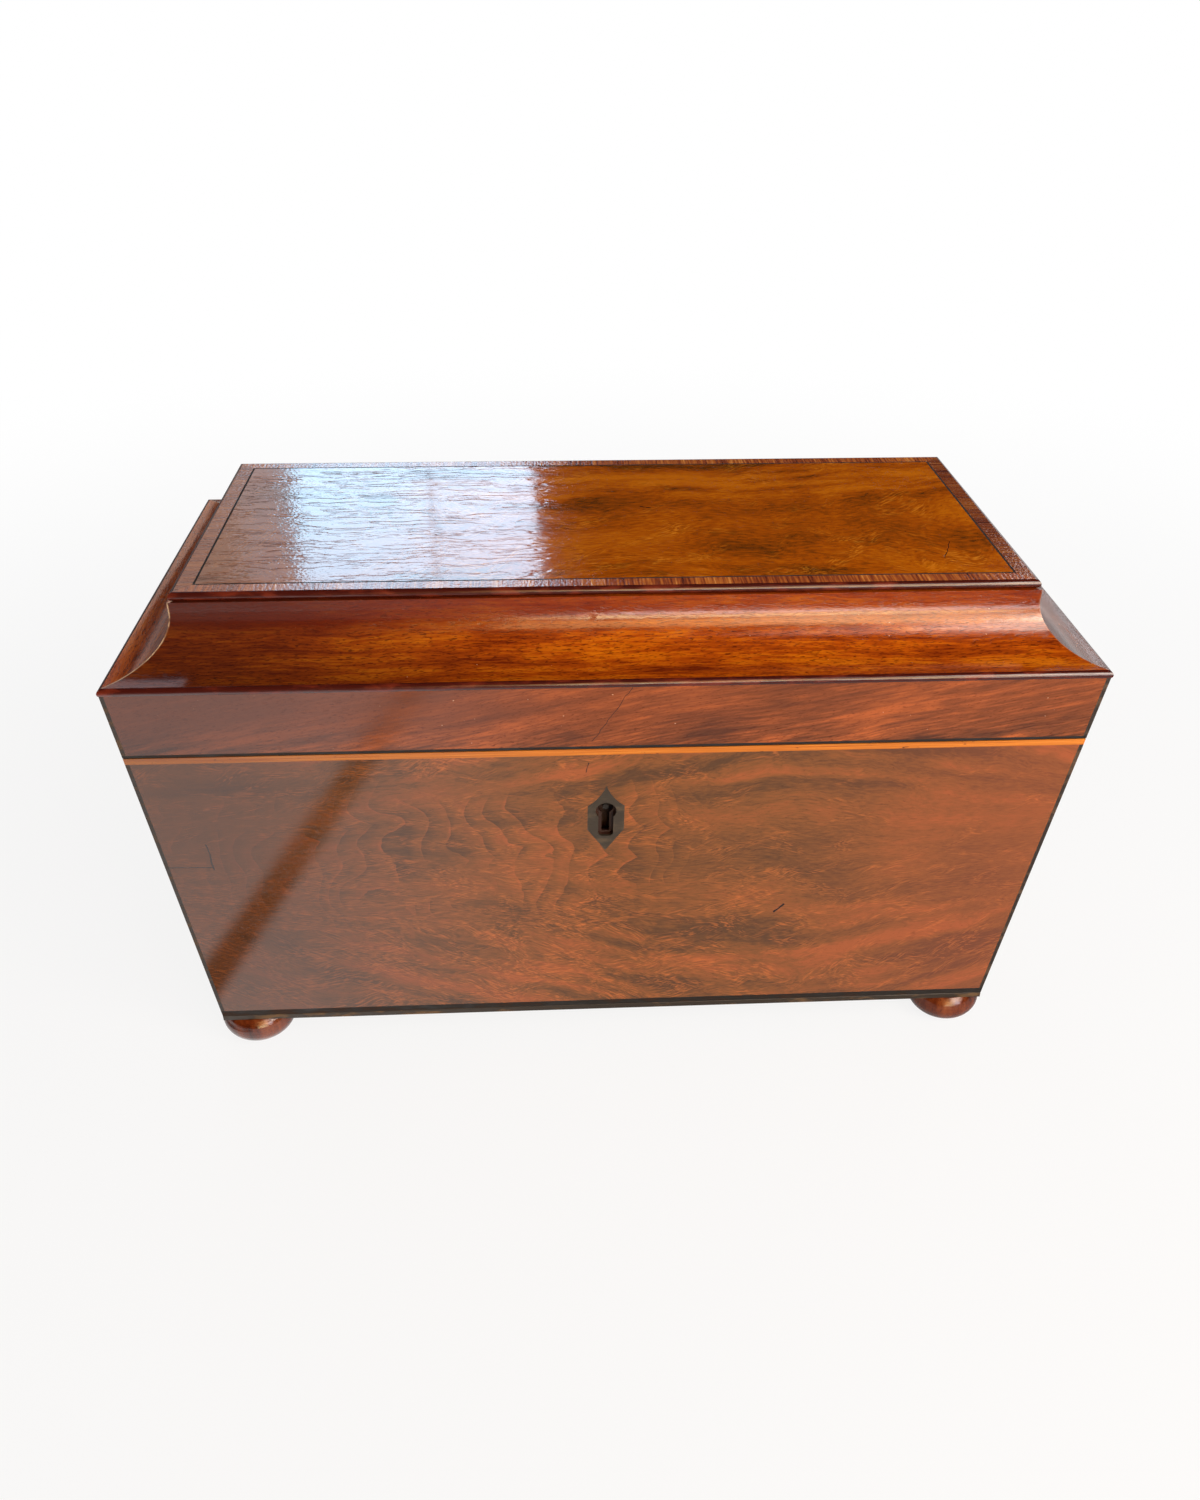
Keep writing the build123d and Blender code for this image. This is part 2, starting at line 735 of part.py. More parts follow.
# Strike plate with its two loops
with BuildPart() as strike_plate:
    with BuildSketch(Plane.XY.offset(lid_bottom)):
        with Locations((lock_x, -lock_middle)):
            Rectangle(strike_length, strike_width)
    extrude(amount=strike_thickness)
    for loop_x, loop_y in loop_places:
        loop_plane = Plane((loop_x, loop_y, lid_bottom), x_dir=(0, -1, 0), z_dir=(-1, 0, 0))
        with BuildSketch(loop_plane):
            Rectangle(loop_width, loop_drop, align=(Align.CENTER, Align.MAX))
            with Locations((0, -loop_drop + loop_foot)):
                Rectangle(
                    loop_hole_width,
                    loop_hole_height,
                    align=(Align.CENTER, Align.MIN),
                    mode=Mode.SUBTRACT,
                )
        extrude(amount=loop_thickness / 2, both=True)
    loop_feet = strike_plate.edges().filter_by(Axis.X).group_by(Axis.Z)[0]
    fillet(loop_feet, loop_corner)
    add(lid_screw_holes, mode=Mode.SUBTRACT)

with BuildPart() as strike_room:
    with BuildSketch(Plane.XY.offset(lid_bottom)):
        with Locations((lock_x, -lock_middle)):
            Rectangle(strike_length, strike_width)
    extrude(amount=strike_thickness)

# Lid rails, upright inside and leaning outside
with BuildSketch() as rail_section:
    with BuildLine():
        Polyline(
            (lock_inner, lid_bottom),
            (face_at(lid_bottom) - veneer_thickness, lid_bottom),
            (face_at(bead_bottom) - veneer_thickness, bead_bottom),
            (lower_bead_centre - bead_tongue, bead_bottom),
            (lower_bead_centre - bead_tongue, rail_top),
            (lock_inner, rail_top),
            close=True,
        )
    make_face()

rails = {
    side: cut_away(mitred(side, rail_section.sketch), lid_strings, lid_corners)
    for side in outward
}
lid_front_rail = cut_away(rails["front"], strike_room.part, lid_screw_holes)
lid_back_rail = cut_away(rails["back"], hinge_rooms, lid_screw_holes)

lid_veneer_section = strip(lid_bottom + lid_edge_string, rim_level, 0, veneer_thickness)
lid_veneers = {
    side: cut_away(mitred(side, lid_veneer_section), lower_beads, lid_corners) for side in outward
}
lid_back_veneer = cut_away(lid_veneers["back"], hinge_rooms)
lid_string_pieces = cut_away(lid_strings, hinge_rooms)

# Hollow mouldings, with a sloping back that leaves an even thickness behind the curve
with BuildSketch() as cove_section:
    with BuildLine():
        hollow = EllipticalCenterArc(
            (cove_foot, cove_top), cove_depth, cove_height, start_angle=180, arc_size=90
        )
        Polyline(
            hollow @ 1,
            (cove_inner_foot, rail_top),
            (cove_inner, rail_top + cove_inner_foot - cove_inner),
            (cove_inner, fascia_top),
            (cove_lip, fascia_top),
            hollow @ 0,
        )
    make_face()
coves = {side: mitred(side, cove_section.sketch) for side in outward}


def flat_block(low, high, half_depth):
    """Upright block of the lid's outline with its long sides at a given distance out."""
    with BuildPart() as block:
        with BuildSketch(Plane.XY.offset(low)):
            Rectangle(2 * (half_depth + end_offset), 2 * half_depth)
        extrude(amount=high - low)
    return block.part.solid()


def flat_ring(low, high, inner, outer):
    """Four mitred flat strips between two distances out."""
    with BuildSketch() as section:
        with Locations((inner, low)):
            Rectangle(outer - inner, high - low, align=(Align.MIN, Align.MIN))
    return [mitred(side, section.sketch) for side in outward]


# Top: a board lapped over the mouldings, then veneer, string and crossbanding
veneer_bottom = lid_top - top_veneer_thickness
top_core = flat_block(lid_ceiling, fascia_top, cove_inner)
top_lap = flat_block(fascia_top, veneer_bottom, upper_bead_centre)
with BuildPart() as top_board:
    add(top_core)
    add(top_lap)
top_veneer = flat_block(veneer_bottom, lid_top, top_string_inner)
top_strings = flat_ring(veneer_bottom, lid_top, top_string_inner, crossbanding_inner)
top_crossbanding = flat_ring(veneer_bottom, lid_top, crossbanding_inner, upper_bead_centre)
lid_lining = flat_block(lid_ceiling - lid_paper_thickness, lid_ceiling, cove_inner - lid_paper_margin)

# Canisters with one sloping end, their foil, covers and knobs
canister_inset = wall_thickness + canister_gap
canister_inner_x = partition_middle + partition_thickness / 2 + canister_gap
canister_top = seam - canister_drop
cavity_bottom = lining_top + canister_floor
foil_top = canister_top - foil_drop
cover_top = canister_top + cover_thickness


def canister_space(low, high, shrink):
    """Room of the right-hand canister between two heights, shrunk on its four sides."""
    blank = tapered_block(low, high, canister_inset + shrink, canister_inset + shrink)
    with BuildPart() as space:
        add(blank)
        with BuildSketch(Plane.XY.offset(low)):
            with Locations((canister_inner_x + shrink, 0)):
                Rectangle(rim_width, rim_depth, align=(Align.MIN, Align.CENTER))
        extrude(amount=high - low, mode=Mode.INTERSECT)
    return space.part.solid()


foil_space = canister_space(cavity_bottom, foil_top, canister_wall)
foil_hollow = canister_space(cavity_bottom + foil_thickness, foil_top, canister_wall + foil_thickness)
canister = cut_away(
    canister_space(lining_top, canister_top, 0), canister_space(cavity_bottom, canister_top, canister_wall)
)
canister_foil = cut_away(foil_space, foil_hollow)
cover_plate = canister_space(canister_top, cover_top, 0)
cover_plug = canister_space(canister_top - plug_height, canister_top, canister_wall + plug_gap)

cover_box = cover_plate.bounding_box()
knob_x = (cover_box.min.X + cover_box.max.X) / 2
knob_head_half = (knob_height - knob_neck_height) / 2
knob_head_start = -degrees(acos(knob_neck_radius / knob_radius))
knob_head_end = degrees(acos(knob_flat_radius / knob_radius))
with BuildPart() as turned_knob:
    with BuildSketch(Plane.XZ):
        with BuildLine():
            head = EllipticalCenterArc(
                (0, knob_height - knob_head_half),
                knob_radius,
                knob_head_half,
                start_angle=knob_head_start,
                arc_size=knob_head_end - knob_head_start,
            )
            Polyline(
                head @ 1,
                (0, (head @ 1).Y),
                (0, -knob_spigot_length),
                (knob_spigot_radius, -knob_spigot_length),
                (knob_spigot_radius, 0),
                (knob_foot_radius, 0),
                (knob_foot_radius, knob_foot_height),
                (knob_neck_radius, knob_foot_height),
                head @ 0,
            )
        make_face()
    revolve(axis=Axis.Z)
with BuildPart() as cover_knob:
    with Locations((knob_x, 0, cover_top)):
        add(turned_knob.part)

with BuildPart() as canister_cover:
    add(cover_plate)
    add(cover_plug)
    add(cover_knob.part, mode=Mode.SUBTRACT)

# Glass mixing bowl with a thick bottom and a rounded rim
bowl_rim = seam - bowl_rim_drop
bowl_inner = bowl_radius - bowl_wall
with BuildPart() as glass_bowl:
    with BuildSketch(Plane.XZ):
        with BuildLine():
            foot_line = Line((0, lining_top), (bowl_foot_radius, lining_top))
            side = Line((bowl_radius, lining_top + bowl_shoulder_height), (bowl_radius, bowl_rim))
            TangentArc(side @ 0, foot_line @ 1, tangent=(0, -1))
            rim_line = Line(side @ 1, (bowl_inner, bowl_rim))
            inside = Line(rim_line @ 1, (bowl_inner, lining_top + bowl_shoulder_height))
            inner_foot = (bowl_foot_radius - bowl_wall, lining_top + bowl_bottom)
            TangentArc(inside @ 1, inner_foot, tangent=(0, -1))
            Polyline(inner_foot, (0, lining_top + bowl_bottom), foot_line @ 0)
        make_face()
    revolve(axis=Axis.Z)
    fillet(glass_bowl.edges().group_by(Axis.Z)[-1], bowl_rim_roll)

# Hardware with its screw holes
case_leaf_pieces = cut_away(case_leaves, case_screw_holes)
lid_leaf_pieces = cut_away(lid_leaves, lid_screw_holes)
lock_case_piece = cut_away(lock_case.part, case_screw_holes)

# Case
write_piece("front_board", front_board)
write_piece("back_board", back_board)
write_piece("left_board", left_board)
write_piece("right_board", right_board)
write_piece("bottom_board", bottom_board)
write_piece("base_plate", base_plate.part)
write_piece("front_veneer", front_veneer)
write_piece("back_veneer", back_veneer)
write_piece("end_veneers", veneers["left"] + veneers["right"])
write_piece("corner_stringing", case_corners)
write_piece("top_edge_stringing", boxwood_pieces)
write_piece("base_stringing", base_strings)
write_piece("escutcheon", escutcheon.part)
write_piece("front_feet", front_feet.part.solids())
write_piece("back_feet", back_feet.part.solids())
write_piece("partitions", partitions.part.solids())
write_piece("floor_lining", floor_lining.part.solids())
write_piece("bowl_board", bowl_board.part)
write_piece("bowl_board_ledges", bowl_board_ledges.part.solids())

# Lock, hinges and screws
write_piece("lock_case", lock_case_piece)
write_piece("lock_cover_plate", lock_cover_plate.part)
write_piece("drill_pin", drill_pin.part)
write_piece("lock_spring", lock_spring.part)
write_piece("lock_bolt", lock_bolt.part)
write_piece("hinge_case_leaves", case_leaf_pieces)
write_piece("hinge_pins", hinge_pins)
write_piece("hinge_lid_leaves", lid_leaf_pieces)
write_piece("case_screws", case_screws)
write_piece("lid_screws", lid_screws)
write_piece("strike_plate", strike_plate.part)

# Lid
write_piece("lid_front_rail", lid_front_rail)
write_piece("lid_back_rail", lid_back_rail)
write_piece("lid_left_rail", rails["left"])
write_piece("lid_right_rail", rails["right"])
write_piece("lid_front_veneer", lid_veneers["front"])
write_piece("lid_back_veneer", lid_back_veneer)
write_piece("lid_end_veneers", lid_veneers["left"] + lid_veneers["right"])
write_piece("lid_corner_stringing", lid_corners)
write_piece("lid_edge_stringing", lid_string_pieces)
write_piece("lower_bead", lower_beads)
for side_name, cove in coves.items():
    write_piece(f"{side_name}_cove", cove)
write_piece("upper_bead", upper_beads)
write_piece("top_board", top_board.part)
write_piece("top_veneer", top_veneer)
write_piece("top_stringing", top_strings)
write_piece("top_crossbanding", top_crossbanding)
write_piece("lid_lining", lid_lining)

# Canisters, covers and bowl
canister_pieces = {
    "canister": canister,
    "foil": canister_foil,
    "cover": canister_cover.part.solids(),
    "knob": cover_knob.part.solids(),
}
for name, solids in canister_pieces.items():
    write_piece(f"right_{name}", solids)
    write_piece(f"left_{name}", [mirror(solid, about=Plane.YZ) for solid in solids])
write_piece("glass_bowl", glass_bowl.part)
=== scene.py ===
# %% [markdown]
# # An antique tea caddy
# A tea caddy is a small locked box for tea. This one is of about 1820: mahogany, tapering down to four
# turned feet, with a lid that rises through a hollow moulding to a flat top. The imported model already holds
# every piece at its real size and place, so this lesson only dresses it: camera, light, and one finish for
# each kind of surface. Everything is in metres, with the box standing on the floor at height 0, its keyhole
# facing -Y.

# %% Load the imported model
import json
import math

import bpy
from mathutils import Matrix, Vector


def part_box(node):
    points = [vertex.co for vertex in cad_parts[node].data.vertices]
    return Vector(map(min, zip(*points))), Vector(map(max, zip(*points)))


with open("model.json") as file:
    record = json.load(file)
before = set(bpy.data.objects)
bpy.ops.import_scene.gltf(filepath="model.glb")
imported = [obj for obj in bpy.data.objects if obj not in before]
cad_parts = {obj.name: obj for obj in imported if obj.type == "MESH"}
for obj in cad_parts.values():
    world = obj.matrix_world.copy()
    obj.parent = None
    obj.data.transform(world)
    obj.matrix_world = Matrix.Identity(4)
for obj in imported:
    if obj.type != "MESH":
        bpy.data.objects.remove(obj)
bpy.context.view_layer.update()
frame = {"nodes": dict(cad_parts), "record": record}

nodes = frame["nodes"]
print("nodes:", len(nodes))

# %% [markdown]
# ## Two small tools
# Colours are written as sRGB hex values, the way a colour picker shows them, while Blender's sockets want
# linear light. One function turns the first into the second. Materials are built from nodes, and every node
# needs the same three things: its settings, its values and its links. One function does all three for any
# kind of node. Inputs are given in the order of the node's open sockets, or by name, and a node given as an
# input stands for its first output. Three short names save space: mm is a millimetre in Blender's metres,
# smooth lets a range ease in and out, and rgba tells a Mix node to mix colours.

# %% Colour and node helpers
mm = 0.001
smooth, rgba = {"interpolation_type": "SMOOTHSTEP"}, {"data_type": "RGBA"}


def linear(code):
    """Linear RGBA colour of an sRGB hex value."""
    channels = [int(code[start:start + 2], 16) / 255 for start in (1, 3, 5)]
    return [c / 12.92 if c <= 0.04045 else ((c + 0.055) / 1.055) ** 2.4 for c in channels] + [1.0]


def first_output(node):
    """The first output that is open with the node's settings."""
    return next(output for output in node.outputs if output.enabled)


def add(tree, kind, inputs=(), stops=(), **settings):
    """A node with its settings, its inputs as values, hex colours or links, and its colour ramp's stops."""
    node = tree.nodes.new("ShaderNode" + kind)
    for name, value in settings.items():
        setattr(node, name, value)
    if isinstance(inputs, dict):
        pairs = [(node.inputs[name], value) for name, value in inputs.items()]
    else:
        pairs = zip([socket for socket in node.inputs if socket.enabled], inputs)
    for socket, value in pairs:
        if isinstance(value, bpy.types.Node):
            value = first_output(value)
        if isinstance(value, bpy.types.NodeSocket):
            tree.links.new(value, socket)
        elif value is not None:
            socket.default_value = linear(value) if isinstance(value, str) else value
    for number, (position, code) in enumerate(stops):
        elements = node.color_ramp.elements
        element = elements[number] if number < len(elements) else elements.new(position)
        element.position = position
        element.color = linear(code)
    return node


print("a mahogany brown in linear light:", [round(c, 3) for c in linear("#9C4C04")[:3]])

# %% [markdown]
# ## Camera
# The picture was taken from just above the box and a little to its left, with a wide lens, so the upright
# lines run together downwards. The place, the direction and the lens come from the corners of the box in
# the picture: a pinhole camera was fitted to them. The three rows give the camera's right, down and forward
# directions.

# %% Camera
camera_place = Vector((-0.02266, -0.39763, 0.34175))
camera_right = Vector((0.99862, -0.05188, 0.00809))
camera_down = Vector((-0.02124, -0.53993, -0.84144))
camera_forward = Vector((0.04803, 0.84011, -0.54029))
lens_data = bpy.data.cameras.new("camera")
lens_data.sensor_fit = "VERTICAL"
lens_data.sensor_height = 36.0
lens_data.lens = 29.62
lens_data.clip_start = 0.01
camera = bpy.data.objects.new("camera", lens_data)
turn = Matrix((camera_right, -camera_down, -camera_forward)).transposed().to_4x4()
camera.matrix_world = Matrix.Translation(camera_place) @ turn
bpy.context.scene.collection.objects.link(camera)
bpy.context.scene.camera = camera
bpy.context.scene.view_settings.view_transform = "Standard"
print("camera looks down by", round(math.degrees(math.asin(-camera_forward.z)), 1), "degrees")

# %% [markdown]
# ## Floor
# A pale floor carries the box and its shadow. The Light Path node tells what kind of ray meets it. The
# light that it throws back on the box is that of a pale matt floor, while the camera sees it lifted towards
# white. The lift is complete a metre or so away, so that the floor meets the white background without a
# line. The polish mirrors the floor as well, and what it finds there gives the front its look: dim close to
# the box, sunlit to the left as a haze that a narrow shadow crosses, and bright again far out to the right,
# which draws thin lines of light along the rounded beads.

# %% Floor
floor_half = 7.0
floor_mesh = bpy.data.meshes.new("floor")
corners = [(-floor_half, -floor_half, 0), (floor_half, -floor_half, 0), (floor_half, floor_half, 0),
           (-floor_half, floor_half, 0)]
floor_mesh.from_pydata(corners, [], [(0, 1, 2, 3)])
floor = bpy.data.objects.new("floor", floor_mesh)
bpy.context.scene.collection.objects.link(floor)

floor_finish = bpy.data.materials.new("matt_white_floor")
floor_finish.use_nodes = True
tree = floor_finish.node_tree
tree.nodes.clear()
print("floor is", 2 * floor_half, "m wide")

# %% What the camera sees of it
grey_until, white_from = 0.2, 0.9
ray = add(tree, "LightPath")
place = add(tree, "TexCoord").outputs["Object"]
away = add(tree, "VectorMath", (place,), operation="LENGTH")
camera_lift = add(tree, "MapRange", (away.outputs["Value"], grey_until, white_from, 0.86, 1.0), **smooth)
mirror_ray = add(tree, "Math", (ray.outputs["Is Glossy Ray"], ray.outputs["Is Transmission Ray"]),
                 operation="MAXIMUM")
camera_part = add(tree, "Math", (ray.outputs["Is Camera Ray"], camera_lift), operation="MULTIPLY")
mirror_part = add(tree, "Math", (mirror_ray, 0.9), operation="MULTIPLY")
lift = add(tree, "Math", (camera_part, mirror_part), operation="MAXIMUM")
print("the floor is white from", white_from, "m")

# %% What the polish mirrors of it
haze_glow, far_glow = 1.58, 9.0
shadow_place, shadow_across = (-0.107, -0.214, 0.0), (0.935, 0.354, 0.0)
shadow_core, shadow_edge = 0.003, 0.0105
spot = add(tree, "SeparateXYZ", (place,))
leftward = add(tree, "MapRange", (spot.outputs["X"], 0.02, -0.14), **smooth)
forward = add(tree, "MapRange", (spot.outputs["Y"], -0.03, -0.08), **smooth)
sunlit = add(tree, "Math", (leftward, forward), operation="MULTIPLY")
from_shadow = add(tree, "VectorMath", (place, shadow_place), operation="SUBTRACT")
shadow_side = add(tree, "VectorMath", (from_shadow, shadow_across), operation="DOT_PRODUCT")
off_shadow = add(tree, "Math", (shadow_side.outputs["Value"],), operation="ABSOLUTE")
past_shadow = add(tree, "MapRange", (off_shadow, shadow_core, shadow_edge), **smooth)
unshaded = add(tree, "Math", (sunlit, past_shadow), operation="MULTIPLY")
far_out = add(tree, "MapRange", (spot.outputs["Y"], -0.9, -1.2), **smooth)
rightward = add(tree, "MapRange", (spot.outputs["X"], 0.0, 0.2), **smooth)
far_sun = add(tree, "Math", (far_out, rightward), operation="MULTIPLY")
back_glow = add(tree, "MapRange", (spot.outputs["Y"], -0.05, 0.05, 0.12, 0.1))
behind_left = add(tree, "Math", (leftward, back_glow), operation="MULTIPLY")
shaded = add(tree, "MapRange", (leftward, 0.0, 1.0, 0.5, 0.0))
mirrored = add(tree, "Math", (behind_left, shaded), operation="ADD")
mirrored = add(tree, "Math", (unshaded, haze_glow, mirrored), operation="MULTIPLY_ADD")
near_box = add(tree, "MapRange", (spot.outputs["Y"], -0.45, -0.28, 0.12, 1.0), **smooth)
mirrored = add(tree, "Math", (mirrored, near_box), operation="MULTIPLY")
mirrored = add(tree, "Math", (far_sun, far_glow, mirrored), operation="MULTIPLY_ADD")
glow = add(tree, "Mix", (mirror_ray, 1.0, mirrored))
matt = add(tree, "BsdfDiffuse", ("#D0D0D0",))
white = add(tree, "Emission", ("#FFFFFF", glow))
floor_mix = add(tree, "MixShader", (lift, matt, white))
add(tree, "OutputMaterial", (floor_mix,))
floor_mesh.materials.append(floor_finish)
print("the shadow in the haze is", round(2 * shadow_edge / mm), "mm wide")

# %% [markdown]
# ## World
# The background is white, but a polished top seen at a low angle mirrors what is above and behind it, and a
# plain white sky there would wash the wood's colour out. So the rays that leave polish meet a studio: a
# white wall low down behind the box, dimmer to the left, and a dark ceiling and front. What lights the wood
# softly is a third background, for rays from matt surfaces.

# %% World
world = bpy.data.worlds.new("studio")
bpy.context.scene.world = world
world.use_nodes = True
tree = world.node_tree
tree.nodes.clear()
ray = add(tree, "LightPath")
clear_ray = add(tree, "Math", (ray.outputs["Is Camera Ray"], ray.outputs["Is Transmission Ray"]),
                operation="MAXIMUM")
toward = add(tree, "SeparateXYZ", (add(tree, "TexCoord").outputs["Generated"],))
wall_top, ceiling_start = math.sin(math.radians(4)), math.sin(math.radians(11))
overhead = add(tree, "MapRange", (toward.outputs["Z"], wall_top, ceiling_start), **smooth)
in_front = add(tree, "MapRange", (toward.outputs["Y"], 0.1, -0.3), **smooth)
at_left = add(tree, "MapRange", (toward.outputs["X"], -0.2, -0.45, 0.0, 0.65), **smooth)
dim = add(tree, "Math", (overhead, in_front), operation="MAXIMUM")
dim = add(tree, "Math", (dim, at_left), operation="MAXIMUM")
walls = add(tree, "Mix", (dim, "#FFFFFF", "#1A1A1A"), **rgba)
mirrored_walls = add(tree, "Background", (walls, 1.0))
white_background = add(tree, "Background", ("#FFFFFF", 1.0))
soft_fill = add(tree, "Background", ("#FFFFFF", 0.3))
lit_or_mirrored = add(tree, "MixShader", (ray.outputs["Is Glossy Ray"], soft_fill, mirrored_walls))
world_mix = add(tree, "MixShader", (clear_ray, lit_or_mirrored, white_background))
add(tree, "OutputWorld", (world_mix,))
print("the mirrored ceiling starts at a slope of", round(wall_top, 3))

# %% [markdown]
# ## Lamps
# A window behind the box shows in the left half of the top: two panes, a dim strip beside them, and a faint
# haze further left. A smaller window at the back right, with a thin silver line above it, lights the far
# side of the lid. A key lamp in front and to the right, and a large soft one behind it, light the front. A
# last pane high at the back left catches the worn front corner of the lid. What lies ahead of the box near
# the horizon shows in the hollow moulding, as a thin bright line, a golden glow with a cream one in it, and
# a white one to the right, each given by its direction. Each lamp's strength is given as the brightness of
# its reflection, and its power is worked out from that and its size.

# %% Lamps
def panel(name, place, target, width, height, glow, colour):
    """A rectangular lamp that faces a target, with the radiance that its reflection is to have."""
    data = bpy.data.lights.new(name, "AREA")
    data.shape = "RECTANGLE"
    data.size = width
    data.size_y = height
    data.energy = glow * math.pi * width * height
    data.color = linear(colour)[:3]
    lamp = bpy.data.objects.new(name, data)
    lamp.location = place
    lamp.rotation_euler = (Vector(target) - Vector(place)).to_track_quat("-Z", "Y").to_euler()
    lamp.visible_camera = False
    bpy.context.scene.collection.objects.link(lamp)
    print(name, "gives", round(data.energy, 1), "W")


window_back, window_middle, window_tall = 1.5, 0.82, 0.40
window_aim = Vector((0.17, -1.5, -0.64))
for name, left, right, glow, colour in (("haze", -0.76, -0.50, 1.4, "#FFD8C4"),
                                        ("side_strip", -0.50, -0.42, 1.8, "#F4E0E0"),
                                        ("left_pane", -0.41, -0.192, 7.3, "#C2E4FF"),
                                        ("right_pane", -0.187, -0.02, 6.8, "#C2E4FF")):
    place = Vector(((left + right) / 2, window_back, window_middle))
    panel(name, place, place + window_aim, right - left, window_tall, glow, colour)

# %% Lamps on the front and on the lid's ends
front, low_front = (0.06, 0.0, 0.12), (0.05, 0.0, 0.1)
right_end, left_corner = (0.13, 0.0, 0.16), (-0.14, -0.07, 0.16)
for name, place, target, width, height, glow, colour in (
        ("key_lamp", (0.42, -0.40, 0.44), front, 0.30, 0.30, 8.4, "#FFF4E6"),
        ("front_lamp", (0.85, -1.2, 1.25), low_front, 0.9, 0.9, 2.0, "#FFF6EA"),
        ("right_window", (0.98, 1.08, 0.58), right_end, 0.6, 0.6, 1.4, "#ECE6E2"),
        ("silver_line", (0.946, 1.044, 0.723), right_end, 0.6, 0.05, 8.0, "#E8ECF4"),
        ("corner_pane", (-0.80, 1.0, 1.15), left_corner, 0.7, 0.6, 1.1, "#F4F0FF")):
    panel(name, place, target, width, height, glow, colour)

# %% Lamps for the hollow moulding
cove_middle, far = Vector((0.03, -0.06, 0.17)), 2.0
for name, azimuths, elevations, glow, colour in (("horizon_line", (156, 181), (0, 8), 12.5, "#FFEAB4"),
                                                 ("golden_glow", (150, 183), (12, 31), 6.5, "#FFC078"),
                                                 ("cream_glow", (152, 169), (8, 26), 3.6, "#FFECCC"),
                                                 ("white_glow", (138, 153), (3, 26), 8.5, "#F2F4FF")):
    turned, raised = (math.radians(sum(pair) / 2) for pair in (azimuths, elevations))
    level = math.cos(raised)
    toward_lamp = Vector((math.sin(turned) * level, math.cos(turned) * level, math.sin(raised)))
    width, height = (far * math.radians(pair[1] - pair[0]) for pair in (azimuths, elevations))
    panel(name, cove_middle + far * toward_lamp, cove_middle, width, height, glow, colour)

# %% [markdown]
# ## Wood in millimetres
# Wood has structure at three sizes: broad figure from the way the trunk grew, streaks of fibre a few
# millimetres apart, and pores that show as short dark dashes. Each is a noise pattern stretched along the
# grain, and a second noise pushes the first about, so that no line stays straight. Places are measured in
# millimetres on the object itself, so a pattern stays put when its piece moves. The axes are renamed for
# each face: the first runs along the grain, the second across it, and the third into the wood. Real pores
# are finer than the picture's pixels, so they are drawn about twice as wide as they are.

# %% Places and grain
def place_on(tree, along, across, into):
    """Place on the object in millimetres, its axes named in the order along, across and into the wood."""
    metres = add(tree, "TexCoord").outputs["Object"]
    millimetres = add(tree, "VectorMath", (metres, [1 / mm] * 3), operation="MULTIPLY")
    axes = add(tree, "SeparateXYZ", (millimetres,))
    return add(tree, "CombineXYZ", (axes.outputs[along], axes.outputs[across], axes.outputs[into]))


def grain(tree, place, long, wide, seed, detail=2.0):
    """Noise from 0 to 1 with features of a length along the grain and a width across it, in millimetres."""
    stretched = add(tree, "Mapping", (place, [seed] * 3, None, (1 / long, 1 / wide, 1 / wide)))
    return add(tree, "TexNoise", {"Vector": stretched, "Scale": 1.0, "Detail": detail})


def drift(tree, place, size, reach, seed):
    """A place pushed up to a reach in any direction, by a noise with features of a size, in millimetres."""
    push = add(tree, "TexNoise", {"Vector": place, "W": seed, "Scale": 1 / size, "Detail": 1.0},
               noise_dimensions="4D")
    centred = add(tree, "VectorMath", (push.outputs["Color"], (0.5, 0.5, 0.5)), operation="SUBTRACT")
    return add(tree, "VectorMath", (centred, [2 * reach] * 3, place), operation="MULTIPLY_ADD")

# %% [markdown]
# ## A finish in two steps
# Every finish is a Principled shader. It starts with the values that are typical for its material and the
# same all over, set on the shader itself. At its end the colour, the relief and, where it varies, the
# roughness are linked in. Old shellac bends light as most varnishes do, with an index of about 1.52.

# %% Starting and ending a finish
shellac_ior = 1.52


def start_finish(name, roughness, ior=1.5, metallic=0.0, **extras):
    """A new material: the material, its node tree and its Principled shader."""
    material = bpy.data.materials.new(name)
    material.use_nodes = True
    tree = material.node_tree
    tree.nodes.clear()
    values = {"Roughness": roughness, "IOR": ior, "Metallic": metallic, **extras}
    shader = add(tree, "BsdfPrincipled", values)
    add(tree, "OutputMaterial", (shader,))
    return material, tree, shader


def dress_shader(tree, shader, colour, relief, roughness=None):
    """Link the colour, the relief and, where it varies, the roughness of a finish to its shader."""
    for socket, node in (("Base Color", colour), ("Normal", relief), ("Roughness", roughness)):
        if node is not None:
            tree.links.new(first_output(node), shader.inputs[socket])


print("shellac has an index of", shellac_ior)

# %% [markdown]
# ## Flame mahogany
# The large faces are veneered with mahogany cut where a bough leaves the trunk. The fibres spread there
# like a flame or a feather. Along a spine the wood shows upright overlapping scales with a thin pale edge.
# Below it the fibres sweep down and up again like a smile, in broad soft bands, and around both lie patches
# of fine bright threads and olive clouds. Shellac rubbed on in many thin coats gives it depth and gloss. A
# wave texture would look drawn, so the sweeps are made by bending the place before the noise is read, and
# the scales by folding it every 9 to 10 mm.

# %% Bending and folding the place
heart_radius, fold_reach = 30.0, 60.0


def centred(tree, pattern):
    """A pattern from 0 to 1 shifted to lie evenly around 0."""
    return add(tree, "Math", (pattern, 0.5), operation="SUBTRACT")


